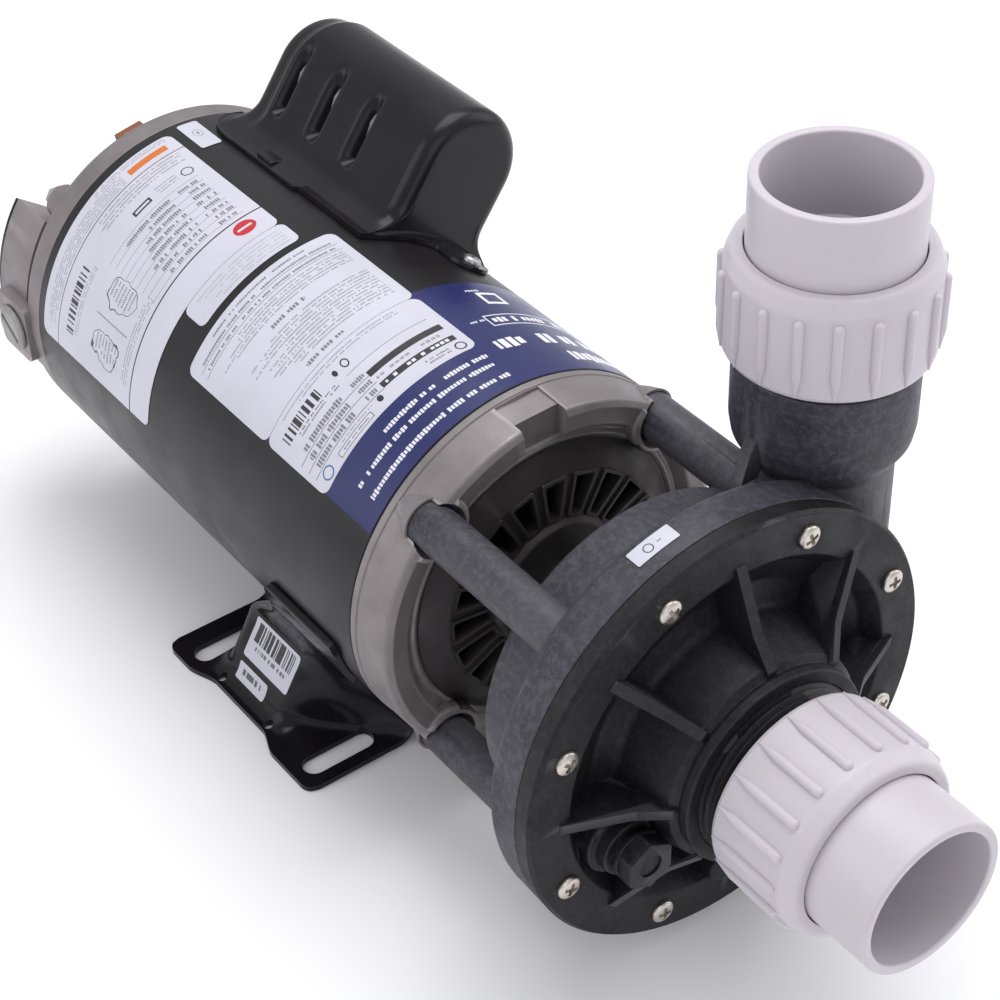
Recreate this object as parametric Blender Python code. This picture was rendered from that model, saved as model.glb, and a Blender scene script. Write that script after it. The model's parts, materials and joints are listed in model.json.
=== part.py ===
"""Pool pump: a close-coupled spa and pool pump with a two-pole 56-frame motor.

The motor lies along X with its pump end towards +X.  Z is up and the base stands on z = 0.
Sizes are in millimetres.  Unless said otherwise a place is given from the shaft line: x is the
world x, and y and z are measured from the shaft's centre.
"""

import math

import bmesh
import bpy
from mathutils import Matrix, Vector

MM = 0.001

# Frame
SHAFT_Y = -10.5
SHAFT_HEIGHT = 88.9
GAP = 0.3

# Motor shell and end bells
SHELL_RADIUS = 71.0
SHELL_BORE = 68.6
SHELL_REAR = -189.5
SHELL_FRONT = 27.5
BELL_SPIGOT = SHELL_BORE - 0.4
BEARING_POCKET = 20.15
BEARING_WIDTH = 11.6
REAR_BEARING_X = -200.6
FRONT_BEARING_X = 33.7
VENT_COUNT = 20
VENT_INNER = 27.5
VENT_OUTER = 43.0

# Bolts and legs that hold motor and pump together
QUARTERS = (45, 135, 225, 315)
THROUGH_BOLT_CIRCLE = 63.5
THROUGH_BOLT_RADIUS = 2.2
LEG_CIRCLE = 66.0
LEG_RADIUS = 8.2
LEG_START = 42.3

# Terminal box on the rear bell: a sector of the bell that stands out to the rear
BOX_ANGLES = (143, 212)
BOX_RADII = (30.0, 69.0)
BOX_REAR = -225.0
CONDUIT_X = -208.5
CONDUIT_Z = -3.0

# Bonding lug on the rear bell, as a direction about the shaft
BONDING_ANGLE = 100.5

# Capacitor cover
COVER_ANGLE = 53.9
CAN_HALF_WIDTH = 23.3
CAN_CENTRE = 99.3
CAN_REAR = -178.0
CAN_STEP = -167.5
CAN_FRONT = -77.4
CAN_WALL = 1.5
FLUTES_X = (-162.0, -138.5, -114.5)
FLANGE_HALF_ANGLE = 28.5
FLANGE_REAR = -187.0
FLANGE_FRONT = -73.0
TAB_END = -49.0

# Motor inside
SHAFT_RADIUS = 8.2
CORE_REAR = -122.0
CORE_FRONT = -52.0
ROTOR_RADIUS = 35.9
STATOR_BORE = 36.6
STATOR_RADIUS = 60.3
STATOR_SLOTS = 24

# Base: two slotted feet, a cradle under the shell, and a raised saddle at each side
FOOT_SHEET = 3.0
BASE_X = (-94.0, 6.0)
FOOT_Y = (31.0, 81.5)
SLOT_CENTRE_X = -42.0
SLOT_SPACING_X = 76.2
SLOT_SPACING_Y = 123.8
SLOT_WIDTH = 9.5
SLOT_LENGTH = 30.0
SADDLE_X = (-72.0, -25.0)

# Pump end
RING_RADIUS = 82.2
RING_FACE = 125.7
COVER_RADIUS = 81.4
COVER_BACK = 126.0
COVER_FACE = 140.5
SCREW_CIRCLE = 72.3
SCREW_COUNT = 8
CHAMBER_RADIUS = 57.0
IMPELLER_RADIUS = 50.0
DRAIN_ANGLE = 202.3
DRAIN_CIRCLE = 49.7

# Unions: sizes for a 1 1/2 inch slip socket, measured along the pipe from the end of the neck
DISCHARGE_X = 104.5
DISCHARGE_Y = 66.2
SUCTION_NECK_END = 192.0
DISCHARGE_NECK_END = 126.1
THREAD_RADIUS = 31.4
NECK_BORE = 22.8
NUT_BACK = -22.2
NUT_FRONT = 14.0
NUT_RADIUS = 34.25
NUT_RIB_RADIUS = 37.0
NUT_RIBS = 18
TAIL_LENGTH = 38.7
TAIL_RADIUS = 27.75
TAIL_BORE = 24.1

# Sides given to large, middle-sized and small round shapes
LARGE = 32
MIDDLE = 20
SMALL = 10

AXES = {"X": 0, "Y": 1, "Z": 2}


# ---------------------------------------------------------------- scene and materials

def clear_scene():
    for item in list(bpy.data.objects):
        bpy.data.objects.remove(item)


def material(name, colour, roughness, metallic=0.0):
    made = bpy.data.materials.new(name)
    made.use_nodes = True
    shader = made.node_tree.nodes["Principled BSDF"]
    shader.inputs["Base Color"].default_value = (*colour, 1)
    shader.inputs["Roughness"].default_value = roughness
    shader.inputs["Metallic"].default_value = metallic
    made.diffuse_color = (*colour, 1)
    return made


def shaft_empty():
    """Parent of every piece: its origin is on the shaft line."""
    empty = bpy.data.objects.new("shaft_line", None)
    empty.location = (0, SHAFT_Y * MM, SHAFT_HEIGHT * MM)
    bpy.context.collection.objects.link(empty)
    return empty


def finish(name, bm, origin=(0, 0, 0), look=None, cutter=False):
    """Turn a bmesh in millimetres into an object whose origin is at the given place."""
    bmesh.ops.recalc_face_normals(bm, faces=bm.faces)
    bmesh.ops.transform(bm, matrix=Matrix.Scale(MM, 4), verts=bm.verts)
    mesh = bpy.data.meshes.new(name)
    bm.to_mesh(mesh)
    bm.free()
    mesh.shade_smooth()
    mesh.set_sharp_from_angle(angle=math.radians(35))
    made = bpy.data.objects.new(name, mesh)
    made.location = Vector(origin) * MM
    made.parent = SHAFT_LINE
    bpy.context.collection.objects.link(made)
    if cutter:
        made.hide_render = True
        made.display_type = "WIRE"
    else:
        mesh.materials.append(look)
    return made


def boolean(target, bm, operation, origin=(0, 0, 0)):
    """Join a tool shape to the target, or cut it away."""
    tool = finish(target.name + "_tool", bm, origin, cutter=True)
    step = target.modifiers.new("boolean", "BOOLEAN")
    step.operation = operation
    step.object = tool


def join(target, bm, origin=(0, 0, 0)):
    boolean(target, bm, "UNION", origin)


def cut(target, bm, origin=(0, 0, 0)):
    boolean(target, bm, "DIFFERENCE", origin)


# ---------------------------------------------------------------- shapes

def placed(axis, along, across_1, across_2):
    """A point from its place along an axis and its two places across it, in X, Y, Z order."""
    point = [across_1, across_2]
    point.insert(AXES[axis], along)
    return point


def turned(bm, profile, axis="X", segments=LARGE, centre=(0, 0, 0)):
    """Turn a closed profile of (along, radius) points about an axis.

    A point of radius 0 closes the ring beside it with a flat face.
    """
    centre = Vector(centre)
    rings = []
    for along, radius in profile:
        ring = []
        for i in range(segments if radius else 0):
            a = 2 * math.pi * i / segments
            point = placed(axis, along, radius * math.cos(a), radius * math.sin(a))
            ring.append(bm.verts.new(centre + Vector(point)))
        rings.append(ring)
    for low, high in zip(rings, rings[1:] + rings[:1]):
        if low and high:
            for i in range(segments):
                j = (i + 1) % segments
                bm.faces.new([low[i], low[j], high[j], high[i]])
        elif low or high:
            bm.faces.new(low or high)
    return bm


def rod(bm, axis, low, high, radius, segments=SMALL, centre=(0, 0, 0)):
    profile = [(low, 0), (low, radius), (high, radius), (high, 0)]
    return turned(bm, profile, axis, segments, centre)


def prism(bm, outline, axis, low, high, turn=0.0):
    """Extrude an outline along an axis, then turn it about the shaft by an angle in degrees."""
    ends = []
    for along in (low, high):
        ends.append([bm.verts.new(placed(axis, along, u, v)) for u, v in outline])
    bm.faces.new(ends[0])
    bm.faces.new(ends[1])
    for i in range(len(outline)):
        j = (i + 1) % len(outline)
        bm.faces.new([ends[0][i], ends[0][j], ends[1][j], ends[1][i]])
    if turn:
        spin = Matrix.Rotation(math.radians(turn), 3, "X")
        bmesh.ops.rotate(bm, verts=ends[0] + ends[1], cent=(0, 0, 0), matrix=spin)
    return bm


def block(bm, x, y, z, turn=0.0):
    outline = [(x[0], y[0]), (x[1], y[0]), (x[1], y[1]), (x[0], y[1])]
    return prism(bm, outline, "Z", z[0], z[1], turn)


def polar(radius, degrees):
    """A point (y, z) on a circle about the shaft."""
    a = math.radians(degrees)
    return radius * math.cos(a), radius * math.sin(a)


def arc(radius, start, end, steps, centre=(0.0, 0.0)):
    points = []
    for i in range(steps + 1):
        u, v = polar(radius, start + (end - start) * i / steps)
        points.append((centre[0] + u, centre[1] + v))
    return points


def sector(inner, outer, start, end, steps):
    return arc(outer, start, end, steps) + arc(inner, end, start, steps)


def slot_outline(x, y, width, length, steps=6):
    """A slot with round ends that runs along Y."""
    reach = (length - width) / 2
    ends = arc(width / 2, 0, 180, steps, (x, y + reach))
    return ends + arc(width / 2, 180, 360, steps, (x, y - reach))


def rounded_box(u, v, radius, steps=3):
    points = []
    for start, cu, cv in ((0, u[1], v[1]), (90, u[0], v[1]), (180, u[0], v[0]), (270, u[1], v[0])):
        side_u = cu - radius if start in (0, 270) else cu + radius
        side_v = cv - radius if start in (0, 90) else cv + radius
        points += arc(radius, start, start + 90, steps, (side_u, side_v))
    return points


def o_ring(name, axis, along, radius, wire, origin=(0, 0, 0), segments=MIDDLE):
    profile = [(along + u, radius + v) for u, v in arc(wire, 0, 360, 5)[:-1]]
    return finish(name, turned(bmesh.new(), profile, axis, segments), origin, RUBBER)


def hexagon(across_flats, turn=0.0):
    return arc(across_flats / math.sqrt(3), turn, turn + 300, 5)


def radial_turn(degrees):
    """The turn about X that carries +Z to this direction about the shaft."""
    return degrees - 90


# ---------------------------------------------------------------- motor casing

def motor_shell():
    tube = [(SHELL_REAR, SHELL_BORE), (SHELL_REAR, SHELL_RADIUS),
            (SHELL_FRONT, SHELL_RADIUS), (SHELL_FRONT, SHELL_BORE)]
    shell = finish("motor_shell", turned(bmesh.new(), tube), look=BLACK_PAINT)
    holes = bmesh.new()
    for x, radius in ((FLANGE_REAR + 4.3, 2.2), (-128.0, 6.0), (TAB_END - 7.0, 2.2)):
        outline = arc(radius, 0, 330, 11, (x, 0))
        prism(holes, outline, "Z", SHELL_BORE - 8, SHELL_RADIUS + 8, radial_turn(COVER_ANGLE))
    cut(shell, holes)


def rear_end_bell():
    pocket_floor = REAR_BEARING_X - 0.4
    profile = [(-206, 0), (-206, 65), (-202, 69.5), (-198, SHELL_RADIUS),
               (SHELL_REAR - GAP, SHELL_RADIUS), (SHELL_REAR - GAP, BELL_SPIGOT),
               (-185.5, BELL_SPIGOT), (-185.5, 65), (-199, 65), (-202.5, 60), (-202.5, 24),
               (-188, 24), (-188, BEARING_POCKET), (pocket_floor, BEARING_POCKET), (pocket_floor, 0)]
    bell = finish("rear_end_bell", turned(bmesh.new(), profile), look=CAST_ALUMINIUM)
    join(bell, prism(bmesh.new(), sector(*BOX_RADII, *BOX_ANGLES, 6), "X", BOX_REAR, -203.5))
    lug = rounded_box((-221, -197.2), (CONDUIT_Z - 12.5, CONDUIT_Z + 12.5), 4)
    join(bell, prism(bmesh.new(), lug, "Y", -73, -56))
    bosses = bmesh.new()
    for angle in QUARTERS:
        rod(bosses, "X", -209, -200.5, 7.4, SMALL, (0, *polar(THROUGH_BOLT_CIRCLE - 1.5, angle)))
    join(bell, bosses)
    inside = sector(BOX_RADII[0] + 3, BOX_RADII[1] - 3.5, BOX_ANGLES[0] + 3.5, BOX_ANGLES[1] - 3.5, 6)
    cut(bell, prism(bmesh.new(), inside, "X", BOX_REAR - 5, -198))
    cut(bell, rod(bmesh.new(), "Y", -80, -60, 8.7, 20, (CONDUIT_X, 0, CONDUIT_Z)))
    openings = bmesh.new()
    for angle in QUARTERS:
        rod(openings, "X", -215, -182, 2.8, 8, (0, *polar(THROUGH_BOLT_CIRCLE, angle)))
    for angle in (0, 20, 90, 270, 340):
        prism(openings, sector(32, 55, angle - 7, angle + 7, 3), "X", -210, -198)
    cut(bell, openings)
    screw_holes = bmesh.new()
    for angle in (BOX_ANGLES[0] + 1.9, BOX_ANGLES[1] - 1.9):
        rod(screw_holes, "X", BOX_REAR - 3, BOX_REAR + 12, 0.9, 8, (0, *polar(50, angle)))
    cut(bell, screw_holes)


def terminal_box_pieces():
    outline = sector(BOX_RADII[0] + 0.5, BOX_RADII[1] - 0.5, BOX_ANGLES[0] + 0.5, BOX_ANGLES[1] - 0.5, 6)
    plate_rear = BOX_REAR - GAP - 2.4
    plate = finish("terminal_cover", prism(bmesh.new(), outline, "X", plate_rear, BOX_REAR - GAP),
                   look=BLACK_PAINT)
    holes = bmesh.new()
    for i, angle in enumerate((BOX_ANGLES[0] + 1.9, BOX_ANGLES[1] - 1.9)):
        spot = polar(50, angle)
        rod(holes, "X", plate_rear - 3, BOX_REAR + 2, 1.2, 8, (0, *spot))
        profile = [(plate_rear - 2.6, 0), (plate_rear - 2.6, 2.2), (plate_rear - GAP, 2.4),
                   (plate_rear - GAP, 0.6), (BOX_REAR + 9, 0.6), (BOX_REAR + 9, 0)]
        screw = turned(bmesh.new(), profile, "X", 8)
        finish(f"terminal_cover_screw_{i + 1}", screw, (0, *spot), STEEL)
    cut(plate, holes)
    board = block(bmesh.new(), (-214, -210), (-60, -37), (-13, 13))
    finish("terminal_board", board, look=BROWN_BOARD)
    profile = [(-75.4, 0), (-75.4, 7.5), (-74.6, 9.4), (-73 - GAP, 9.4), (-73 - GAP, 8.2),
               (-64, 8.2), (-64, 0)]
    plug = turned(bmesh.new(), profile, "Y", 20)
    plug = finish("conduit_plug", plug, (CONDUIT_X, 0, CONDUIT_Z), GREY_PLASTIC)
    cut(plug, block(bmesh.new(), (-6.5, 6.5), (-80, -74.4), (-1, 1)), (CONDUIT_X, 0, CONDUIT_Z))
    lug = block(bmesh.new(), (-209.3, -206 - GAP), (-6, 6), (55, 67.2), radial_turn(BONDING_ANGLE))
    lug = finish("bonding_lug", lug, look=COPPER)
    cut(lug, rod(bmesh.new(), "X", -212, -204, 2.2, 12, (0, *polar(60, BONDING_ANGLE))))


def front_end_bell():
    pocket_floor = FRONT_BEARING_X + BEARING_WIDTH + GAP
    profile = [(21, 65.5), (21, BELL_SPIGOT), (SHELL_FRONT + GAP, BELL_SPIGOT),
               (SHELL_FRONT + GAP, SHELL_RADIUS), (45.5, SHELL_RADIUS), (48, 68.5), (48, 62),
               (42, 57), (48.2, 44.5), (48.2, 26.5), (51, 24.5), (51, 9.4), (pocket_floor, 9.4),
               (pocket_floor, BEARING_POCKET), (33, BEARING_POCKET), (33, 24), (44.4, 24.5),
               (44.4, 44), (38.4, 56), (38.4, 65.5)]
    bell = finish("front_end_bell", turned(bmesh.new(), profile), look=CAST_ALUMINIUM)
    seats = bmesh.new()
    for angle in QUARTERS:
        rod(seats, "X", 31, LEG_START - 0.4, LEG_RADIUS + 0.7, SMALL, (0, *polar(LEG_CIRCLE, angle)))
    join(bell, seats)
    clearances = bmesh.new()
    for angle in QUARTERS:
        rod(clearances, "X", LEG_START - 0.4, 60, LEG_RADIUS + 0.9, SMALL, (0, *polar(LEG_CIRCLE, angle)))
    cut(bell, clearances)
    openings = bmesh.new()
    for angle in QUARTERS:
        rod(openings, "X", 15, 55, 2.8, 8, (0, *polar(THROUGH_BOLT_CIRCLE, angle)))
    for i in range(VENT_COUNT):
        taper = [(-1.9, VENT_INNER), (1.9, VENT_INNER), (4.1, VENT_OUTER), (-4.1, VENT_OUTER)]
        prism(openings, taper, "X", 40, 55, i * 360 / VENT_COUNT)
    block(openings, (41, 60), (-9.5, 9.5), (64, 80), radial_turn(97))
    cut(bell, openings)


def through_bolts():
    for i, angle in enumerate(QUARTERS):
        bolt = rod(bmesh.new(), "X", -211, 58, THROUGH_BOLT_RADIUS, 8)
        spot = (0, *polar(THROUGH_BOLT_CIRCLE, angle))
        bolt = finish(f"through_bolt_{i + 1}", bolt, spot, STEEL)
        join(bolt, prism(bmesh.new(), hexagon(8), "X", -212.5, -209 - GAP), spot)


# ---------------------------------------------------------------- capacitor

def can_section(half_width, foot, centre):
    """The can's section: a round top on straight sides, in (across, outward)."""
    return [(-half_width, foot)] + arc(half_width, 180, 0, 14, (0, centre)) + [(half_width, foot)]


def capacitor_group():
    turn = radial_turn(COVER_ANGLE)
    body = prism(bmesh.new(), can_section(CAN_HALF_WIDTH, 69, CAN_CENTRE), "X", CAN_STEP, CAN_FRONT, turn)
    can = finish("capacitor_cover", body, look=BLACK_PAINT)
    stepped_end = can_section(CAN_HALF_WIDTH - 1.6, 68.5, CAN_CENTRE)
    join(can, prism(bmesh.new(), stepped_end, "X", CAN_REAR, CAN_STEP + 3, turn))
    seat = SHELL_RADIUS + GAP
    low, high = COVER_ANGLE - FLANGE_HALF_ANGLE, COVER_ANGLE + FLANGE_HALF_ANGLE
    flange = sector(seat - 2, seat + 2.2, low, high, 10)
    join(can, prism(bmesh.new(), flange, "X", FLANGE_REAR, FLANGE_FRONT))
    tab = arc(8.5, -90, 90, 6, (TAB_END - 8.5, 0)) + [(FLANGE_FRONT - 2, 8.5), (FLANGE_FRONT - 2, -8.5)]
    join(can, prism(bmesh.new(), tab, "Z", seat - 2, seat + 2.6, turn))
    cut(can, rod(bmesh.new(), "X", FLANGE_REAR - 9, TAB_END + 9, seat, 48))
    inner = can_section(CAN_HALF_WIDTH - 1.6 - CAN_WALL, 60, CAN_CENTRE)
    cut(can, prism(bmesh.new(), inner, "X", CAN_REAR + CAN_WALL, CAN_FRONT - CAN_WALL, turn))
    flutes = bmesh.new()
    for x in FLUTES_X:
        groove = [(x - 3.4, -CAN_HALF_WIDTH - 2), (x + 3.4, -CAN_HALF_WIDTH - 2),
                  (x + 1.8, 1 - CAN_HALF_WIDTH), (x - 1.8, 1 - CAN_HALF_WIDTH)]
        mirrored = [(u, -v) for u, v in groove]
        prism(flutes, groove, "Z", 77, 105, turn)
        prism(flutes, mirrored, "Z", 77, 105, turn)
    cut(can, flutes)
    holes = bmesh.new()
    for i, x in enumerate((FLANGE_REAR + 4.3, TAB_END - 7.0)):
        prism(holes, arc(2.2, 0, 330, 11, (x, 0)), "Z", 60, 90, turn)
        seat_height = SHELL_RADIUS + 3.4
        screw = bmesh.new()
        turned(screw, [(seat_height + 2.6, 0), (seat_height + 2.6, 2.6), (seat_height, 3.6),
                       (seat_height, 1.7), (64, 1.7), (64, 0)], "Z", SMALL, (x, 0, 0))
        bmesh.ops.rotate(screw, verts=screw.verts, cent=(0, 0, 0),
                         matrix=Matrix.Rotation(math.radians(turn), 3, "X"))
        finish(f"capacitor_cover_screw_{i + 1}", screw, look=STEEL)
    cut(can, holes)
    across, outward = polar(CAN_CENTRE - 2, COVER_ANGLE)
    profile = [(-169, 0), (-169, 17.6), (-167, 19.4), (-90, 19.4), (-88, 17.6), (-88, 0)]
    capacitor = turned(bmesh.new(), profile, "X", MIDDLE)
    finish("run_capacitor", capacitor, (0, across, outward), GREY_PLASTIC)


# ---------------------------------------------------------------- motor inside

def toothed_ring(bm, outer, teeth_inner, slot_depth, count, low, high):
    """A ring whose bore has open slots, as a stator lamination stack has."""
    per_slot = 2
    total = count * per_slot
    loops = {}
    for along in (low, high):
        outside, bore = [], []
        for i in range(total):
            angle = 360 * i / total
            in_slot = i % per_slot == 1
            outside.append(bm.verts.new(placed("X", along, *polar(outer, angle))))
            radius = teeth_inner + (slot_depth if in_slot else 0)
            bore.append(bm.verts.new(placed("X", along, *polar(radius, angle))))
        loops[along] = (outside, bore)
    for i in range(total):
        j = (i + 1) % total
        for along in (low, high):
            outside, bore = loops[along]
            bm.faces.new([outside[i], outside[j], bore[j], bore[i]])
        for side in (0, 1):
            a, b = loops[low][side], loops[high][side]
            bm.faces.new([a[i], a[j], b[j], b[i]])
    return bm


def stator_and_windings():
    core = toothed_ring(bmesh.new(), STATOR_RADIUS, STATOR_BORE, 14, STATOR_SLOTS, CORE_REAR, CORE_FRONT)
    finish("stator_core", core, look=LAMINATION)
    for name, near, far in (("winding_rear", CORE_REAR - GAP, CORE_REAR - 24),
                            ("winding_front", CORE_FRONT + GAP, CORE_FRONT + 20)):
        lean = (far - near) / 6
        profile = [(near, 41), (near, 54), (far - lean, 57), (far, 54), (far, 43), (far - lean, 40)]
        finish(name, turned(bmesh.new(), profile, segments=MIDDLE), look=COPPER)
    switch = block(bmesh.new(), (-187, -174.5), (-52, -25), (-9, 9))
    finish("start_switch", switch, look=BROWN_BOARD)


def rotating_group():
    profile = [(-200.3, 0), (-200.3, SHAFT_RADIUS), (112, SHAFT_RADIUS), (112, 0)]
    finish("shaft", turned(bmesh.new(), profile, segments=20), look=STEEL)
    bore = SHAFT_RADIUS + GAP
    core = [(CORE_REAR, bore), (CORE_REAR, ROTOR_RADIUS), (CORE_FRONT, ROTOR_RADIUS), (CORE_FRONT, bore)]
    finish("rotor_core", turned(bmesh.new(), core, segments=MIDDLE), look=LAMINATION)
    hub = [(-165, bore), (-165, 20), (-162, 20), (-160, 14), (-152, 14), (-152, bore)]
    finish("governor_hub", turned(bmesh.new(), hub, segments=20), look=STEEL)
    collar = [(-173, bore), (-173, 21), (-170.5, 21), (-168.5, 13), (-168.5, bore)]
    finish("governor_collar", turned(bmesh.new(), collar, segments=20), look=BROWN_BOARD)
    slinger = [(57, bore), (57, 18), (59, 20), (60, 18), (62, 13), (64, 12), (64, bore)]
    finish("water_slinger", turned(bmesh.new(), slinger, segments=20), look=RUBBER)


def cooling_fan():
    bore = SHAFT_RADIUS + GAP
    disc = [(-14, bore), (-14, 17), (-6, 17), (-6, 50), (-4, 50), (-4, 14), (2, 12), (2, bore)]
    fan = finish("cooling_fan", turned(bmesh.new(), disc, segments=20), look=GREY_PLASTIC)
    blades = bmesh.new()
    for i in range(8):
        block(blades, (-5, 12), (-1, 1), (20, 49), radial_turn(i * 45 + 10))
    join(fan, blades)


def bearings():
    for name, x in (("rear_bearing", REAR_BEARING_X), ("front_bearing", FRONT_BEARING_X)):
        far = x + BEARING_WIDTH
        outer = [(x, 16.4), (x, BEARING_POCKET - 0.3), (far, BEARING_POCKET - 0.3), (far, 16.4)]
        finish(name + "_outer_race", turned(bmesh.new(), outer, segments=20), look=STEEL)
        inner = [(x, SHAFT_RADIUS + GAP), (x, 12.2), (far, 12.2), (far, SHAFT_RADIUS + GAP)]
        finish(name + "_inner_race", turned(bmesh.new(), inner, segments=20), look=STEEL)


# ---------------------------------------------------------------- base

def base():
    floor = -SHAFT_HEIGHT
    foot_top = floor + FOOT_SHEET
    cradle_in, cradle_out = SHELL_RADIUS + 0.4, SHELL_RADIUS + 3.4
    cradle = prism(bmesh.new(), sector(cradle_in, cradle_out, 208, 332, 20), "X", *BASE_X)
    frame = finish("base", cradle, look=BLACK_PAINT)
    feet, webs, saddles, openings = bmesh.new(), bmesh.new(), bmesh.new(), bmesh.new()
    for side in (-1, 1):
        inner, outer = sorted((side * FOOT_Y[0], side * FOOT_Y[1]))
        prism(feet, rounded_box(BASE_X, (inner, outer), 5), "Z", floor, foot_top)
        web = [(31.6, floor + 1), (34.6, floor + 1), (32.6, -67.2), (29.6, -67.2)]
        prism(webs, [(side * y, z) for y, z in web], "X", BASE_X[0] + 0.4, BASE_X[1] - 0.4)
        hump = [(74, floor + 1.5), (68, -80.5), (66.5, -76), (57.5, -61), (58.5, -50), (63.2, -37.6),
                (59.8, -41.9), (45.9, -56.7), (33.8, -64.8), (33.8, floor + 1.5)]
        prism(saddles, [(side * y, z) for y, z in hump], "X", *SADDLE_X)
        hollow = [(69, floor - 5), (65, -80), (63.5, -75.5), (54.5, -60.5), (54, -52.5), (46, -59.8),
                  (37, -65.8), (37, floor - 5)]
        prism(openings, [(side * y, z) for y, z in hollow], "X", SADDLE_X[0] + 2.6, SADDLE_X[1] - 2.6)
        for end in (-1, 1):
            x = SLOT_CENTRE_X + end * SLOT_SPACING_X / 2
            slot = slot_outline(x, side * SLOT_SPACING_Y / 2, SLOT_WIDTH, SLOT_LENGTH)
            prism(openings, slot, "Z", floor - 4, foot_top + 4)
            spot = (SLOT_CENTRE_X - 6 + end * 16.3, side * 76.4, 0)
            rod(openings, "Z", floor - 4, foot_top + 4, 2.0, 12, spot)
    join(frame, webs)
    join(frame, feet)
    join(frame, saddles)
    cut(frame, openings)


# ---------------------------------------------------------------- pump end

def wet_end_bracket():
    profile = [(72, 11), (72, 19), (86, 21), (88, 25), (88, 58), (91, 61.5), (113, 62.5), (113, 80.5),
               (114.5, RING_RADIUS), (RING_FACE, RING_RADIUS), (RING_FACE, 17.5),
               (85.5, 17.5), (85.5, 14.2), (76, 14.2), (76, 11)]
    bracket = finish("wet_end_bracket", turned(bmesh.new(), profile), look=BLACK_PLASTIC)
    legs = bmesh.new()
    for angle in QUARTERS:
        rod(legs, "X", LEG_START, 115, LEG_RADIUS, SMALL, (0, *polar(LEG_CIRCLE, angle)))
    join(bracket, legs)
    end = DISCHARGE_NECK_END
    centre = (DISCHARGE_X, DISCHARGE_Y, 0)
    neck = [(-6, 0), (-6, 20), (-1, 24.5), (60, 24.5), (66, 29), (70, 30.4), (90, 30.4),
            (91, THREAD_RADIUS), (end, THREAD_RADIUS), (end, 0)]
    join(bracket, turned(bmesh.new(), neck, "Z", MIDDLE, centre))
    fins = bmesh.new()
    fin = [(62, 20), (93.6, 26), (93.6, 68), (97.5, 72), (98.8, 86), (94, 89), (62, 89)]
    prism(fins, fin, "X", DISCHARGE_X - 3, DISCHARGE_X + 3)
    join(bracket, fins)
    cut(bracket, rod(bmesh.new(), "X", RING_FACE + 0.2, 160, COVER_RADIUS + 0.5, LARGE))
    cut(bracket, rod(bmesh.new(), "X", 93, RING_FACE + 5, CHAMBER_RADIUS, LARGE))
    seal_groove = [(122.8, 65), (122.8, 69), (RING_FACE + 3, 69), (RING_FACE + 3, 65)]
    cut(bracket, turned(bmesh.new(), seal_groove))
    bore = [(2, 0), (2, 17), (64, 17), (72, NECK_BORE), (end + 5, NECK_BORE), (end + 5, 0)]
    cut(bracket, turned(bmesh.new(), bore, "Z", MIDDLE, centre))
    groove = [(end - 2.6, 25.8), (end - 2.6, 29.2), (end + 3, 29.2), (end + 3, 25.8)]
    cut(bracket, turned(bmesh.new(), groove, "Z", MIDDLE, centre))
    holes = bmesh.new()
    for angle in QUARTERS:
        rod(holes, "X", 30, 60, 2.6, 8, (0, *polar(THROUGH_BOLT_CIRCLE, angle)))
    for i in range(SCREW_COUNT):
        rod(holes, "X", 116.5, 140, 2.3, 8, (0, *polar(SCREW_CIRCLE, 22.5 + 45 * i)))
    cut(bracket, holes)


def suction_cover():
    end = SUCTION_NECK_END
    profile = [(COVER_BACK, 28.5), (COVER_BACK, COVER_RADIUS), (138.7, COVER_RADIUS), (COVER_FACE, 79.6),
               (COVER_FACE, 65), (133.5, 59), (131.5, 52), (133.5, 44), (150, 40), (156, 38.3),
               (161.2, 38.3), (161.2, THREAD_RADIUS), (end, THREAD_RADIUS), (end, 29.2), (end - 2.6, 29.2),
               (end - 2.6, 25.8), (end, 25.8), (end, NECK_BORE), (130, NECK_BORE), (130, 28.5)]
    cover = finish("suction_cover", turned(bmesh.new(), profile), look=BLACK_PLASTIC)
    ribs = bmesh.new()
    for i in range(SCREW_COUNT):
        outline = [(129, 36), (153, 36), (153, 40.2), (139.9, 66.5), (129, 66.5)]
        rib = bmesh.new()
        prism(rib, outline, "Y", -2, 2)
        bmesh.ops.rotate(rib, verts=rib.verts, cent=(0, 0, 0),
                         matrix=Matrix.Rotation(math.radians(radial_turn(45 * i)), 3, "X"))
        copy_into(ribs, rib)
    join(cover, ribs)
    spot = polar(DRAIN_CIRCLE, DRAIN_ANGLE)
    join(cover, rod(bmesh.new(), "X", 129, 146.5, 11, 16, (0, *spot)))
    holes = bmesh.new()
    rod(holes, "X", 134, 155, 6.3, 16, (0, *spot))
    for i in range(SCREW_COUNT):
        centre = (0, *polar(SCREW_CIRCLE, 22.5 + 45 * i))
        rod(holes, "X", 120, 150, 2.3, 8, centre)
    cut(cover, holes)


def copy_into(target, source):
    """Move the shape held by one bmesh into another."""
    mesh = bpy.data.meshes.new("part")
    source.to_mesh(mesh)
    source.free()
    target.from_mesh(mesh)
    bpy.data.meshes.remove(mesh)


def cover_screws():
    head = COVER_FACE + GAP
    profile = [(head + 2.1, 0), (head + 2.1, 3), (head, 4.3), (head, 2.0), (118, 2.0), (118, 0)]
    for i in range(SCREW_COUNT):
        spot = (0, *polar(SCREW_CIRCLE, 22.5 + 45 * i))
        finish(f"cover_screw_{i + 1}", turned(bmesh.new(), profile, "X", SMALL), spot, STAINLESS)


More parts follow.
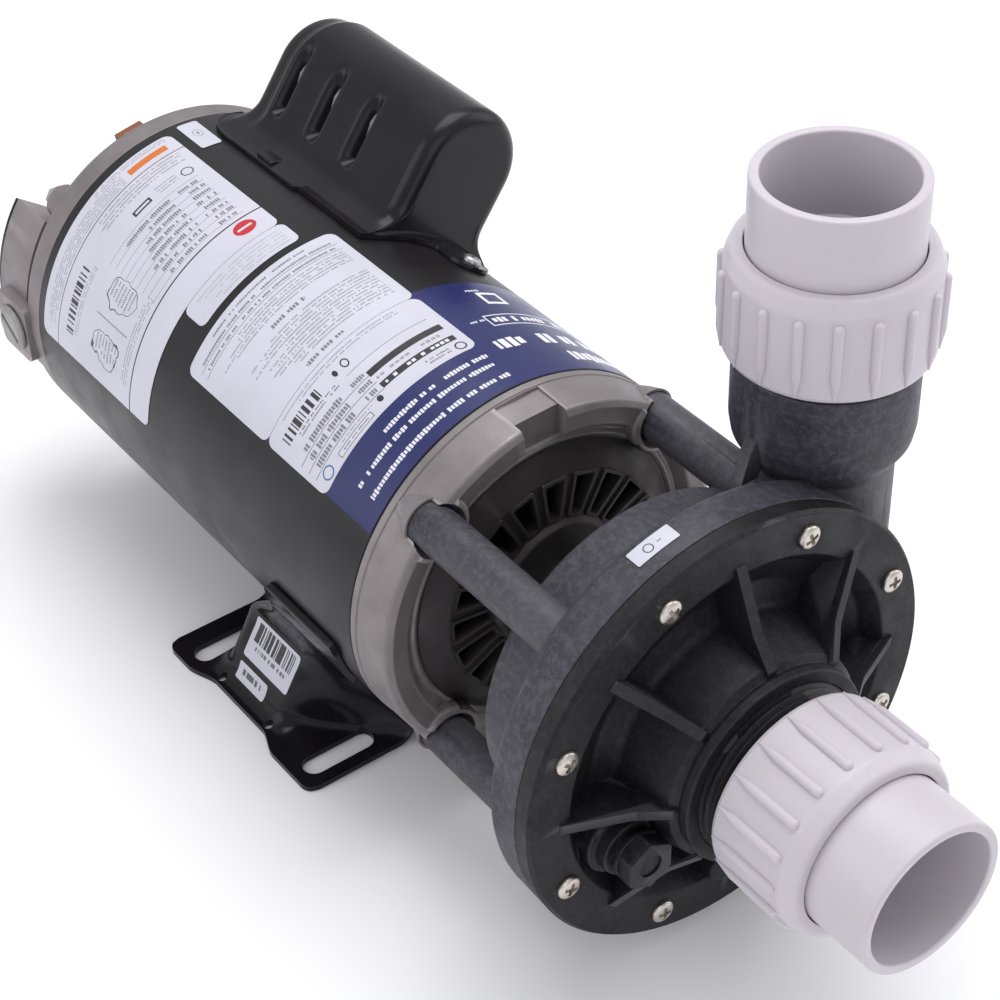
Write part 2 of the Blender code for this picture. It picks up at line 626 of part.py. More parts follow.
def drain():
    spot = (0, *polar(DRAIN_CIRCLE, DRAIN_ANGLE))
    shank = rod(bmesh.new(), "X", 136, 149, 5.9, SMALL)
    plug = finish("drain_plug", shank, spot, BLACK_PLASTIC)
    join(plug, prism(bmesh.new(), hexagon(16.5, 30), "X", 148.6, 156.5), spot)
    o_ring("drain_o_ring", "X", 147.6, 7.3, 0.75, spot, SMALL)


def impeller_and_seal():
    back = [(97, SHAFT_RADIUS + GAP), (97, 13), (102, 14), (102, IMPELLER_RADIUS), (104.5, IMPELLER_RADIUS),
            (105, 20), (112, 15), (118, 7), (119, 0), (113, 0), (113, SHAFT_RADIUS + GAP)]
    wheel = finish("impeller", turned(bmesh.new(), back, segments=MIDDLE), look=GREY_PLASTIC)
    vanes = bmesh.new()
    for i in range(6):
        one_side, other_side = [], []
        for step in range(5):
            radius = 23.5 + (IMPELLER_RADIUS - 1 - 23.5) * step / 4
            angle = 60 * i - 70 * step / 4
            thick = math.degrees(1.3 / radius)
            one_side.append(polar(radius, angle + thick))
            other_side.append(polar(radius, angle - thick))
        prism(vanes, one_side + other_side[::-1], "X", 103.5, 118)
    join(wheel, vanes)
    front = [(117, IMPELLER_RADIUS), (119.2, IMPELLER_RADIUS), (121, 26), (128.6, 23.8),
             (128.6, 21.2), (117, 22.5)]
    join(wheel, turned(bmesh.new(), front, segments=MIDDLE))
    ring = [(126.4, 25), (126.4, 28.2), (129.7, 28.2), (129.7, 25)]
    finish("wear_ring", turned(bmesh.new(), ring, segments=MIDDLE), look=GREY_PLASTIC)
    seat = [(78, 9.2), (78, 13.9), (85, 13.9), (85, 9.2)]
    finish("seal_seat", turned(bmesh.new(), seat, segments=20), look=CERAMIC)
    head = [(85.3, SHAFT_RADIUS + GAP), (85.3, 12.6), (88, 12.6), (88, 15.5), (96.6, 15.5),
            (96.6, SHAFT_RADIUS + GAP)]
    finish("seal_head", turned(bmesh.new(), head, segments=20), look=RUBBER)
    o_ring("cover_o_ring", "X", 124.25, 67, 1.25, segments=LARGE)


# ---------------------------------------------------------------- unions

def union(prefix, axis, end, centre):
    """A union on a threaded neck: a ribbed nut, a slip tailpiece and an O-ring.

    Places along the pipe are measured from the neck's end, which is the origin of each piece.
    """
    origin = Vector(centre) + Vector(placed(axis, end, 0, 0))
    thread_room = THREAD_RADIUS + 0.4
    lip = 6.8
    nut = [(NUT_BACK, thread_room), (NUT_BACK, NUT_RADIUS), (NUT_FRONT - 4.5, NUT_RADIUS),
           (NUT_FRONT, 31.2), (NUT_FRONT, TAIL_RADIUS + 0.4), (lip, TAIL_RADIUS + 0.4), (lip, thread_room)]
    nut = finish(prefix + "_union_nut", turned(bmesh.new(), nut, axis, LARGE), origin, WHITE_PVC)
    ribs = bmesh.new()
    rib = ((33.6, -3.8), (NUT_RIB_RADIUS, -2.4), (NUT_RIB_RADIUS, 2.4), (33.6, 3.8))
    for i in range(NUT_RIBS):
        outline = [polar(radius, 360 * i / NUT_RIBS + spread) for radius, spread in rib]
        prism(ribs, outline, axis, NUT_BACK + 1.2, NUT_FRONT - 7)
    join(nut, ribs, origin)
    tail = [(GAP, TAIL_BORE), (GAP, 31), (6.3, 31), (6.3, TAIL_RADIUS), (TAIL_LENGTH, TAIL_RADIUS),
            (TAIL_LENGTH, TAIL_BORE)]
    finish(prefix + "_tailpiece", turned(bmesh.new(), tail, axis, MIDDLE), origin, WHITE_PVC)
    o_ring(prefix + "_o_ring", axis, -1.15, 27.5, 1.1, origin)


# ---------------------------------------------------------------- build

clear_scene()
SHAFT_LINE = shaft_empty()
BLACK_PAINT = material("black_paint", (0.015, 0.015, 0.017), 0.3)
CAST_ALUMINIUM = material("cast_aluminium", (0.42, 0.40, 0.38), 0.5, 0.7)
BLACK_PLASTIC = material("black_plastic", (0.025, 0.025, 0.028), 0.5)
GREY_PLASTIC = material("grey_plastic", (0.16, 0.16, 0.16), 0.5)
WHITE_PVC = material("white_pvc", (0.82, 0.80, 0.82), 0.35)
STAINLESS = material("stainless", (0.6, 0.58, 0.54), 0.3, 1.0)
STEEL = material("steel", (0.45, 0.45, 0.46), 0.35, 1.0)
LAMINATION = material("lamination", (0.25, 0.25, 0.27), 0.5, 0.8)
COPPER = material("copper", (0.6, 0.28, 0.14), 0.4, 0.8)
BROWN_BOARD = material("brown_board", (0.2, 0.1, 0.05), 0.6)
RUBBER = material("rubber", (0.02, 0.02, 0.02), 0.7)
CERAMIC = material("ceramic", (0.8, 0.78, 0.72), 0.3)

motor_shell()
rear_end_bell()
terminal_box_pieces()
front_end_bell()
through_bolts()
capacitor_group()
stator_and_windings()
rotating_group()
cooling_fan()
bearings()
base()
wet_end_bracket()
suction_cover()
cover_screws()
drain()
impeller_and_seal()
union("suction", "X", SUCTION_NECK_END, (0, 0, 0))
union("discharge", "Z", DISCHARGE_NECK_END, (DISCHARGE_X, DISCHARGE_Y, 0))
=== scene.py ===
"""Looks of the pool pump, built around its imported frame.

Shapes are made in millimetres from the shaft line, with x along the shaft, and are turned into
world metres as the last step.  The shaft line and the main sizes are read from the frame.
"""
import json
import math

import bmesh
import bpy
from mathutils import Matrix, Vector


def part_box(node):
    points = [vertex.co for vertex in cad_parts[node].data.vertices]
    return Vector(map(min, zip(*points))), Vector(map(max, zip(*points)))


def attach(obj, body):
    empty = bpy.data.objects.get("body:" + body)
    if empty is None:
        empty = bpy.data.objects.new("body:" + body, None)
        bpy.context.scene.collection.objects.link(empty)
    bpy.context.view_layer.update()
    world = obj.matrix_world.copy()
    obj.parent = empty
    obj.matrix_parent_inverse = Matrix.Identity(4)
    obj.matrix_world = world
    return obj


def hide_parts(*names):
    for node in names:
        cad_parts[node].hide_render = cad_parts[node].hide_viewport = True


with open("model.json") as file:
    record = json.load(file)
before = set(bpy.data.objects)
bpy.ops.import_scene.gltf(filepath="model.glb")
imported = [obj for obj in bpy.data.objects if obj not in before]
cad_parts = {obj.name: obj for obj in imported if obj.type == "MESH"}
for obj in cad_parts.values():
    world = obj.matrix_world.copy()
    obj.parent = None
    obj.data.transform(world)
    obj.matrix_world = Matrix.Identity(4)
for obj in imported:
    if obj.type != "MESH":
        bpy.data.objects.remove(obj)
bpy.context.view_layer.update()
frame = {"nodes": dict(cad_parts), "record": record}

MM = 0.001

shell_low, shell_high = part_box("motor_shell")
SHAFT_Y = (shell_low[1] + shell_high[1]) / 2
SHAFT_Z = (shell_low[2] + shell_high[2]) / 2
TO_WORLD = Matrix.Translation((0, SHAFT_Y, SHAFT_Z)) @ Matrix.Scale(MM, 4)


def span(node):
    """Lowest and highest corner of a node, in millimetres from the shaft line."""
    shift = Vector((0, SHAFT_Y, SHAFT_Z))
    return [(Vector(corner) - shift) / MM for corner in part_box(node)]


# Sizes read from the frame
SHELL_REAR, SHELL_FRONT = (corner.x for corner in span("motor_shell"))
SHELL_RADIUS = span("motor_shell")[1].z
BASE_LOW, BASE_HIGH = span("base")
FLOOR = BASE_LOW.z
COVER_BACK = span("suction_cover")[0].x
SUCTION_END = span("suction_cover")[1].x
DISCHARGE_END = span("wet_end_bracket")[1].z
DISCHARGE_X, DISCHARGE_Y = ((span("discharge_tailpiece")[0] + span("discharge_tailpiece")[1]) / 2)[:2]
BOX_REAR = span("rear_end_bell")[0].x
CAN_LOW, CAN_HIGH = span("capacitor_cover")

# Sizes shared by several pieces
GAP = 0.3
QUARTERS = (45, 135, 225, 315)
LEG_CIRCLE, LEG_RADIUS, LEG_ROOT = 66.0, 8.2, 41.2
BOLT_CIRCLE = 63.5
BELL_FRONT = 48.0
CAN_ANGLE, CAN_HALF_WIDTH, CAN_CENTRE = 53.9, 23.3, 99.3
RING_FACE, COVER_FACE = 125.7, 140.5
SEAM_X, SEAM_RADIUS = 133.0, 81.3
SCREW_CIRCLE, SCREW_HOLE = 72.3, 2.3
SCREW_ANGLES = [22.5 + 45 * i for i in range(8)]
DRAIN_ANGLE, DRAIN_CIRCLE = 202.3, 49.7
THREAD_RADIUS, THREAD_PITCH = 31.4, 2.6
PORT_BORE = 22.8
VENTS = 20
UNION_RIBS, RIB_RADIUS = 18, 1.7
TAIL_RADIUS, TAIL_BORE = 27.75, 24.1
BOX_ANGLES, BOX_RADII = (143, 212), (30.0, 69.0)
CONDUIT_X, CONDUIT_Z = -208.5, -3.0
BONDING_ANGLE, NOTCH_ANGLE = 100.5, 92.0

# Sides given to round shapes
LARGE, MIDDLE, SMALL = 160, 80, 28
AXES = {"X": 0, "Y": 1, "Z": 2}


# ---------------------------------------------------------------- outlines

def polar(radius, degrees, centre=(0.0, 0.0)):
    a = math.radians(degrees)
    return centre[0] + radius * math.cos(a), centre[1] + radius * math.sin(a)


def arc(radius, start, end, steps, centre=(0.0, 0.0)):
    return [polar(radius, start + (end - start) * i / steps, centre) for i in range(steps + 1)]


def sector(inner, outer, start, end, steps):
    return arc(outer, start, end, steps) + arc(inner, end, start, steps)


def eased(points, steps=5):
    """Round the corners of an outline whose points are (u, v) or (u, v, radius)."""
    made = []
    for i, (u, v, *radius) in enumerate(points):
        if not radius:
            made.append((u, v))
            continue
        here = Vector((u, v))
        before = Vector(points[i - 1][:2]) - here
        after = Vector(points[(i + 1) % len(points)][:2]) - here
        half = before.angle(after) / 2
        reach = min(radius[0] / math.tan(half), 0.49 * before.length, 0.49 * after.length)
        first = here + before.normalized() * reach
        last = here + after.normalized() * reach
        for step in range(steps + 1):
            t = step / steps
            made.append(tuple(first * (1 - t) ** 2 + here * 2 * t * (1 - t) + last * t * t))
    return made


def box_outline(u, v, radius):
    corners = [(u[0], v[0], radius), (u[1], v[0], radius), (u[1], v[1], radius), (u[0], v[1], radius)]
    return eased(corners, 6)


def smooth(t):
    """Ease from 0 to 1."""
    t = min(max(t, 0.0), 1.0)
    return t * t * (3 - 2 * t)


def curve_through(points, steps):
    """A smooth curve through points, as Catmull-Rom pieces."""
    ends = [points[0], *points, points[-1]]
    made = []
    for a, b, c, d in zip(ends, ends[1:], ends[2:], ends[3:]):
        a, b, c, d = (Vector(point) for point in (a, b, c, d))
        for step in range(steps):
            t = step / steps
            made.append(0.5 * (2 * b + (c - a) * t + (2 * a - 5 * b + 4 * c - d) * t * t
                               + (3 * b - a - 3 * c + d) * t ** 3))
    return made + [Vector(points[-1])]


def slot_outline(x, y, width, length):
    reach, radius = (length - width) / 2, width / 2
    return arc(radius, 0, 180, 14, (x, y + reach)) + arc(radius, 180, 360, 14, (x, y - reach))


# ---------------------------------------------------------------- solids

def placed(axis, along, u, v):
    point = [u, v]
    point.insert(AXES[axis], along)
    return Vector(point)


def turned(profile, axis="X", sides=LARGE, centre=(0, 0, 0)):
    """Turn a closed profile of (along, radius) points about an axis."""
    bm = bmesh.new()
    rings = []
    for along, radius in profile:
        ring = []
        for i in range(sides if radius else 0):
            a = 2 * math.pi * i / sides
            point = placed(axis, along, radius * math.cos(a), radius * math.sin(a))
            ring.append(bm.verts.new(point + Vector(centre)))
        rings.append(ring)
    for low, high in zip(rings, rings[1:] + rings[:1]):
        if low and high:
            for i in range(sides):
                j = (i + 1) % sides
                bm.faces.new([low[i], low[j], high[j], high[i]])
        elif low or high:
            bm.faces.new(low or high)
    return bm


def rod(axis, low, high, radius, sides, centre=(0, 0, 0), ease=0.0):
    profile = [(low, 0), (low, radius, ease), (high, radius, ease), (high, 0)]
    if not ease:
        profile = [point[:2] for point in profile]
    return turned(eased(profile, 3), axis, sides, centre)


def prism(outline, axis, low, high):
    """An outline of (u, v) points, drawn out along an axis."""
    bm = bmesh.new()
    ends = []
    for along in (low, high):
        ends.append([bm.verts.new(placed(axis, along, u, v)) for u, v in outline])
    bm.faces.new(ends[0])
    bm.faces.new(ends[1])
    for i in range(len(outline)):
        j = (i + 1) % len(outline)
        bm.faces.new([ends[0][i], ends[0][j], ends[1][j], ends[1][i]])
    return bm


def block(x, y, z):
    return prism([(x[0], y[0]), (x[1], y[0]), (x[1], y[1]), (x[0], y[1])], "Z", *z)


def moved(bm, matrix):
    bmesh.ops.transform(bm, matrix=matrix, verts=bm.verts)
    return bm


def outward(degrees):
    """The turn that carries +Z to another direction about the shaft."""
    return Matrix.Rotation(math.radians(degrees - 90), 4, "X")


def about_shaft(bm, degrees):
    return moved(bm, outward(degrees))


def together(shapes):
    """One mesh that holds several shapes which don't touch."""
    whole = bmesh.new()
    for bm in shapes:
        mesh = bpy.data.meshes.new("work")
        bm.to_mesh(mesh)
        bm.free()
        whole.from_mesh(mesh)
        bpy.data.meshes.remove(mesh)
    return whole


def boolean(bm, tool, operation):
    made = []
    for shape in (bm, tool):
        bmesh.ops.recalc_face_normals(shape, faces=shape.faces)
        mesh = bpy.data.meshes.new("work")
        shape.to_mesh(mesh)
        shape.free()
        made.append(bpy.data.objects.new("work", mesh))
        bpy.context.collection.objects.link(made[-1])
    step = made[0].modifiers.new("step", "BOOLEAN")
    step.operation = operation
    step.object = made[1]
    made[1].hide_render = True
    result = bmesh.new()
    result.from_object(made[0], bpy.context.evaluated_depsgraph_get())
    for item in made:
        mesh = item.data
        bpy.data.objects.remove(item)
        bpy.data.meshes.remove(mesh)
    return result


def join(bm, *tools):
    return boolean(bm, together(tools), "UNION")


def join_each(bm, *tools):
    """Join shapes that touch each other, one after another."""
    for tool in tools:
        bm = join(bm, tool)
    return bm


def cut(bm, *tools):
    return boolean(bm, together(tools), "DIFFERENCE")


def piece(name, bm, body, look, stands_for=(), bevel=0.0, angle=34):
    """Turn a shape into a finished piece that rides on a body."""
    bmesh.ops.remove_doubles(bm, verts=bm.verts, dist=0.0005)
    bmesh.ops.recalc_face_normals(bm, faces=bm.faces)
    bmesh.ops.transform(bm, matrix=TO_WORLD, verts=bm.verts)
    mesh = bpy.data.meshes.new(name)
    bm.to_mesh(mesh)
    bm.free()
    mesh.shade_smooth()
    if not bevel:
        mesh.set_sharp_from_angle(angle=math.radians(angle))
    mesh.materials.append(look)
    made = bpy.data.objects.new(name, mesh)
    bpy.context.collection.objects.link(made)
    if bevel:
        edge = made.modifiers.new("edge", "BEVEL")
        edge.width = bevel * MM
        edge.segments = 2
        edge.limit_method = "ANGLE"
        edge.angle_limit = math.radians(angle)
        edge.use_clamp_overlap = True
        shade = made.modifiers.new("shade", "WEIGHTED_NORMAL")
        shade.keep_sharp = True
    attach(made, body)
    if stands_for:
        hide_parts(*stands_for)
    return made


# ---------------------------------------------------------------- materials

class Look:
    """A material whose colour, roughness and bump are built up by short calls."""

    def __init__(self, name, colour, roughness, metallic=0.0, specular=0.5):
        self.material = bpy.data.materials.new(name)
        self.material.use_nodes = True
        self.tree = self.material.node_tree
        self.shader = self.tree.nodes["Principled BSDF"]
        self.shader.inputs["Base Color"].default_value = (*colour, 1)
        self.shader.inputs["Roughness"].default_value = roughness
        self.shader.inputs["Metallic"].default_value = metallic
        self.shader.inputs["Specular IOR Level"].default_value = specular
        self.material.diffuse_color = (*colour, 1)
        self.place = self.node("ShaderNodeTexCoord").outputs["Object"]
        self.colour = None

    def node(self, kind, **settings):
        made = self.tree.nodes.new(kind)
        for key, value in settings.items():
            setattr(made, key, value)
        return made

    def feed(self, socket, value):
        if isinstance(value, bpy.types.NodeSocket):
            self.tree.links.new(value, socket)
        else:
            socket.default_value = value

    def maths(self, operation, a, b=0.0, c=0.0):
        made = self.node("ShaderNodeMath", operation=operation)
        for socket, value in zip(made.inputs, (a, b, c)):
            self.feed(socket, value)
        return made.outputs[0]

    def noise(self, per_metre, detail, roughness=0.5, stretch=None):
        made = self.node("ShaderNodeTexNoise")
        place = self.place
        if stretch:
            stretched = self.node("ShaderNodeVectorMath", operation="MULTIPLY")
            self.feed(stretched.inputs[0], place)
            stretched.inputs[1].default_value = stretch
            place = stretched.outputs[0]
        self.feed(made.inputs["Vector"], place)
        made.inputs["Scale"].default_value = per_metre
        made.inputs["Detail"].default_value = detail
        made.inputs["Roughness"].default_value = roughness
        return made.outputs["Fac"]

    def spread(self, value, low, high, to_low=0.0, to_high=1.0):
        made = self.node("ShaderNodeMapRange")
        limits = {"From Min": low, "From Max": high, "To Min": to_low, "To Max": to_high}
        for name, number in limits.items():
            made.inputs[name].default_value = number
        self.feed(made.inputs["Value"], value)
        return made.outputs[0]

    def tint(self, colour, amount):
        """Mix a colour over what the surface has so far."""
        mix = self.node("ShaderNodeMix", data_type="RGBA")
        base = self.shader.inputs["Base Color"]
        self.feed(mix.inputs["Factor"], amount)
        self.feed(mix.inputs["A"], self.colour or tuple(base.default_value))
        self.feed(mix.inputs["B"], (*colour, 1))
        self.colour = mix.outputs["Result"]
        self.feed(base, self.colour)

    def patches(self, colour, noise, low, high, amount):
        """Mix a colour over the places where a noise is high."""
        self.tint(colour, self.spread(self.noise(*noise), low, high, 0.0, amount))

    def gloss(self, value, low, high):
        self.feed(self.shader.inputs["Roughness"], self.spread(value, 0.3, 0.7, low, high))

    def bump(self, height, depth_mm, strength):
        made = self.node("ShaderNodeBump")
        made.inputs["Distance"].default_value = depth_mm * MM
        made.inputs["Strength"].default_value = strength
        self.feed(made.inputs["Height"], height)
        self.feed(self.shader.inputs["Normal"], made.outputs["Normal"])

    def edges(self, low=0.52, high=0.6):
        """How much a place is an outer edge, from 0 to 1."""
        return self.spread(self.node("ShaderNodeNewGeometry").outputs["Pointiness"], low, high)


def scaled(colour, factor):
    return tuple(part * factor for part in colour)


def enamel(name, roughness, specular):
    """Black enamel on steel: slight orange peel, faint dust and uneven gloss."""
    look = Look(name, (0.008, 0.007, 0.009), roughness, specular=specular)
    look.patches((0.020, 0.018, 0.023), (16, 4), 0.45, 0.75, 0.6)
    look.patches((0.09, 0.085, 0.09), (1900, 2), 0.68, 0.78, 0.3)
    look.gloss(look.noise(38, 5, 0.6), roughness * 0.8, roughness * 1.35)
    look.bump(look.noise(420, 2), 0.05, 0.35)
    return look.material


def cast_metal(name, light, dark, roughness):
    """Cast aluminium: fine grain, mottled tone, and brighter edges that are partly worn metal and partly
    painted highlight.
    """
    look = Look(name, light, roughness, metallic=0.6)
    look.patches(dark, (26, 6, 0.65), 0.38, 0.68, 0.75)
    look.patches(scaled(dark, 0.45), (1300, 3, 0.7), 0.6, 0.72, 0.5)
    # Painted highlight along outer edges, partly worn metal: edges lightened by pointiness
    look.tint(scaled(light, 1.5), look.maths("MULTIPLY", look.edges(0.53, 0.62), 0.6))
    look.gloss(look.noise(90, 4), roughness * 0.8, roughness * 1.3)
    look.bump(look.noise(900, 4, 0.65), 0.12, 0.5)
    return look.material


def filled_plastic(name, tone, speckle, specular):
    """Glass-filled black plastic: mottled with pale fibre, cloudy flow marks and scuffed edges."""
    look = Look(name, tone, 0.5, specular=specular)
    look.patches(scaled(tone, 2.4), (34, 7, 0.7), 0.44, 0.72, 0.75)
    look.patches(scaled(tone, 2.6), (420, 4, 0.6), 0.46, 0.62, 0.7)
    look.patches(speckle, (1100, 2, 0.8), 0.58, 0.70, 0.35)
    look.tint((0.12, 0.12, 0.13), look.maths("MULTIPLY", look.edges(), 0.35))
    look.gloss(look.noise(60, 5, 0.6), 0.37, 0.65)
    look.bump(look.noise(700, 4, 0.7), 0.09, 0.5)
    return look.material


def pvc(name):
    """White rigid PVC: faint violet tint, slight translucence and handling marks."""
    look = Look(name, (0.58, 0.55, 0.60), 0.36, specular=0.4)
    look.shader.inputs["Subsurface Weight"].default_value = 0.12
    look.shader.inputs["Subsurface Scale"].default_value = 0.003
    look.patches((0.55, 0.50, 0.53), (22, 5, 0.6), 0.42, 0.75, 0.6)
    look.patches((0.36, 0.33, 0.33), (620, 1), 0.77, 0.82, 0.6)
    look.gloss(look.noise(45, 4), 0.3, 0.46)
    look.bump(look.noise(260, 3), 0.03, 0.5)
    return look.material


def metal(name, colour, roughness):
    """Bright metal with fine scratches and dull spots."""
    look = Look(name, colour, roughness, metallic=1.0)
    look.patches((0.25, 0.22, 0.19), (700, 4, 0.7), 0.55, 0.75, 0.55)
    look.gloss(look.noise(240, 4), roughness * 0.7, roughness * 1.6)
    look.bump(look.noise(2600, 2, stretch=(1, 0.15, 1)), 0.02, 0.5)
    return look.material


def plain(name, colour, roughness, metallic=0.0, grain=500):
    """A simple moulded or wound material with grain."""
    look = Look(name, colour, roughness, metallic)
    look.patches(scaled(colour, 0.55), (60, 5), 0.4, 0.7, 0.8)
    look.gloss(look.noise(120, 3), roughness * 0.8, roughness * 1.25)
    look.bump(look.noise(grain, 3), 0.06, 0.5)
    return look.material


SHELL_ENAMEL = enamel("shell_enamel", 0.34, 0.38)
CAN_ENAMEL = enamel("can_enamel", 0.24, 0.3)
BASE_ENAMEL = enamel("base_enamel", 0.18, 0.25)
ALUMINIUM = cast_metal("aluminium", (0.275, 0.252, 0.256), (0.185, 0.167, 0.168), 0.5)
# A much darker copy of the aluminium: painted shade and painted reflection for the front bell's inside
SHADED_ALUMINIUM = cast_metal("shaded_aluminium", (0.055, 0.050, 0.051), (0.035, 0.032, 0.033), 0.5)
BRACKET_PLASTIC = filled_plastic("bracket_plastic", (0.027, 0.026, 0.034), (0.13, 0.13, 0.16), 0.4)
COVER_PLASTIC = filled_plastic("cover_plastic", (0.0068, 0.0064, 0.0078), (0.05, 0.05, 0.058), 0.27)
PVC = pvc("white_pvc")
STAINLESS = metal("stainless", (0.62, 0.58, 0.53), 0.28)
ZINC = metal("zinc", (0.46, 0.46, 0.47), 0.34)
COPPER = metal("copper", (0.62, 0.25, 0.12), 0.38)
TARNISHED = plain("tarnished_copper", (0.30, 0.10, 0.045), 0.5, metallic=0.3)
GREY_PLASTIC = plain("grey_plastic", (0.30, 0.295, 0.29), 0.45)
RUBBER = plain("rubber", (0.018, 0.018, 0.018), 0.62)
BOARD = plain("board", (0.22, 0.10, 0.05), 0.55)
LAMINATION = plain("lamination", (0.24, 0.24, 0.26), 0.4, metallic=0.85, grain=1500)
CERAMIC = plain("ceramic", (0.78, 0.76, 0.70), 0.25)

# Looks of the frame's own nodes, by the record's material slot
INSIDE_LOOKS = {
    "black_paint": SHELL_ENAMEL, "cast_aluminium": ALUMINIUM, "black_plastic": BRACKET_PLASTIC,
    "grey_plastic": GREY_PLASTIC, "white_pvc": PVC, "stainless": STAINLESS, "steel": ZINC,
    "lamination": LAMINATION, "copper": COPPER, "brown_board": BOARD, "rubber": RUBBER,
    "ceramic": CERAMIC,
}


def dress_frame():
    for part in frame["record"]["subparts"]:
        node = frame["nodes"][part["node"]]
        node.data.materials.clear()
        node.data.materials.append(INSIDE_LOOKS[part["material_slot"]])


# ---------------------------------------------------------------- motor

def motor_shell():
    profile = eased([(SHELL_REAR, 68.6), (SHELL_REAR, SHELL_RADIUS, 0.5),
                     (SHELL_FRONT, SHELL_RADIUS, 0.5), (SHELL_FRONT, 68.6)], 3)
    piece("shell_skin", turned(profile), "pump", SHELL_ENAMEL, ["motor_shell"])


def rear_bell():
    """The rear end of the motor with its terminal box, conduit lug and vents."""
    profile = eased([
        (-206, 0), (-206, 66, 9), (-199, SHELL_RADIUS, 6), (SHELL_REAR - GAP, SHELL_RADIUS, 0.4),
        (SHELL_REAR - GAP, 68), (-185.5, 68), (-185.5, 65), (-199, 65), (-202.5, 60),
        (-202.5, 24), (-188, 24), (-188, 20.3), (-201, 20.3), (-201, 0)], 6)
    bosses = [rod("X", -209, -200.5, 7.4, SMALL, (0, *polar(BOLT_CIRCLE - 1.5, angle)), 1.2)
              for angle in QUARTERS]
    hub = turned(eased([(-208.4, 0), (-208.4, 18, 1.5), (-204, 24, 2), (-204, 0)]), sides=MIDDLE)
    walls = prism(sector(*BOX_RADII, *BOX_ANGLES, 24), "X", BOX_REAR, -203.5)
    lug = prism(box_outline((-221, -197.2), (-15.5, 9.5), 4), "Y", -73, -56)
    bell = join(turned(profile), *bosses, hub)
    bell = join_each(bell, walls, lug)
    inner = sector(BOX_RADII[0] + 3, BOX_RADII[1] - 3.5, BOX_ANGLES[0] + 3.5, BOX_ANGLES[1] - 3.5, 24)
    bell = cut(bell, prism(inner, "X", BOX_REAR - 5, -207))
    bell = cut(bell, rod("Y", -80, -62, 8.7, SMALL, (CONDUIT_X, 0, CONDUIT_Z)))
    vents = [about_shaft(prism(box_outline((-4.6, 4.6), (31, 56), 3), "X", -212, -198), angle + 0.3)
             for angle in (0, 20, 70, 90, 110, 250, 270, 290, 340)]
    holes = [rod("X", -215, -195, 2.8, SMALL, (0, *polar(BOLT_CIRCLE, angle))) for angle in QUARTERS]
    bell = cut(bell, *vents, *holes)
    piece("rear_bell_casting", bell, "pump", ALUMINIUM, ["rear_end_bell"], 0.7, 38)


def vent_outline(half_in, half_out, corner, radii):
    """A tapered opening that points away from the shaft, with its half widths at each end."""
    low, high = radii
    return eased([(-half_in, low, corner), (half_in, low, corner), (half_out, high, corner),
                  (-half_out, high, corner)], 3)


def front_bell():
    """The slotted front end of the motor, with a cup and a low hump where each bracket leg meets it."""
    profile = eased([
        (21, 65.5), (21, 68), (SHELL_FRONT + GAP, 68), (SHELL_FRONT + GAP, SHELL_RADIUS, 0.5),
        (30.7, SHELL_RADIUS, 0.3), (31.0, 70.3, 0.2), (31.4, 70.7, 0.3), (46.5, 70.2, 2.0),
        (BELL_FRONT, 67.4, 1.2), (BELL_FRONT - 0.6, 61, 2.5), (43.2, 57.6, 1.5), (44.4, 55.9, 1),
        (43, 54.2, 1), (48.2, 44.5, 2), (48.2, 26.5, 1.5), (51, 24.5, 1.5), (51, 9.4), (45.6, 9.4),
        (45.6, 20.3), (33, 20.3), (33, 24), (44.4, 24.5), (44.4, 44), (38.4, 54), (38.4, 65.5)], 4)
    hump_end = LEG_ROOT + 1
    hump = eased([(31.2, 0), (31.2, 5.1), (37, 7.6, 4), (hump_end, LEG_RADIUS + 1.2, 3),
                  (46.6, LEG_RADIUS + 1.6, 1), (46.6, 0)], 5)
    funnel = [(LEG_ROOT - 0.4, 0), (LEG_ROOT - 0.4, LEG_RADIUS + 0.3), (45.5, LEG_RADIUS + 0.4),
              (BELL_FRONT, LEG_RADIUS + 2.0), (62, LEG_RADIUS + 2.0), (62, 0)]
    cups, humps, sockets = [], [], []
    for angle in QUARTERS:
        spot = (0, *polar(LEG_CIRCLE, angle))
        cup = rod("X", 31, BELL_FRONT + 1.0, LEG_RADIUS + 4.4, 48, spot, 2.5)
        outside = turned([(15, 69.9), (45.5, 69.7), (BELL_FRONT + 2, 65.8), (60, 65.8), (60, 120),
                          (15, 120)])
        cups.append(cut(cup, outside))
        humps.append(turned(hump, sides=64, centre=spot))
        sockets.append(turned(funnel, sides=64, centre=spot))
    rim = vent_outline(3.0, 5.4, 1.2, (26.3, 44.3))
    hole = vent_outline(1.9, 4.1, 0.8, (27.5, 43.0))
    rims, holes = [], []
    for i in range(VENTS):
        turn = 90 + 360 / VENTS * i
        rims.append(about_shaft(prism(rim, "X", 46, 48.9), turn))
        holes.append(about_shaft(prism(hole, "X", 40, 55), turn))
    bell = join(turned(profile), *cups)
    bell = join(bell, *humps)
    bell = cut(bell, turned([(hump_end, 71), (hump_end, 120), (60, 120), (60, 70.6)]))
    bell = join(bell, *rims)
    bell = cut(bell, *holes, *sockets)
    notch = prism([(31.6, 69.2), (42, 69.2), (42, 57.2), (60, 57.2), (60, 80), (31.6, 80)], "Y", -9, 9)
    bell = cut(bell, about_shaft(notch, NOTCH_ANGLE))
    made = piece("front_bell_casting", bell, "pump", ALUMINIUM, ["front_end_bell"],
                 0.6, 38)
    # Faces inside radius 55 get the darker copy: painted shade and painted reflection of the dark pump body
    made.data.materials.append(SHADED_ALUMINIUM)
    for face in made.data.polygons:
        y, z = face.center[1] - SHAFT_Y, face.center[2] - SHAFT_Z
        if math.hypot(y, z) < 55.0 * MM and face.center[0] > 20 * MM:
            face.material_index = 1


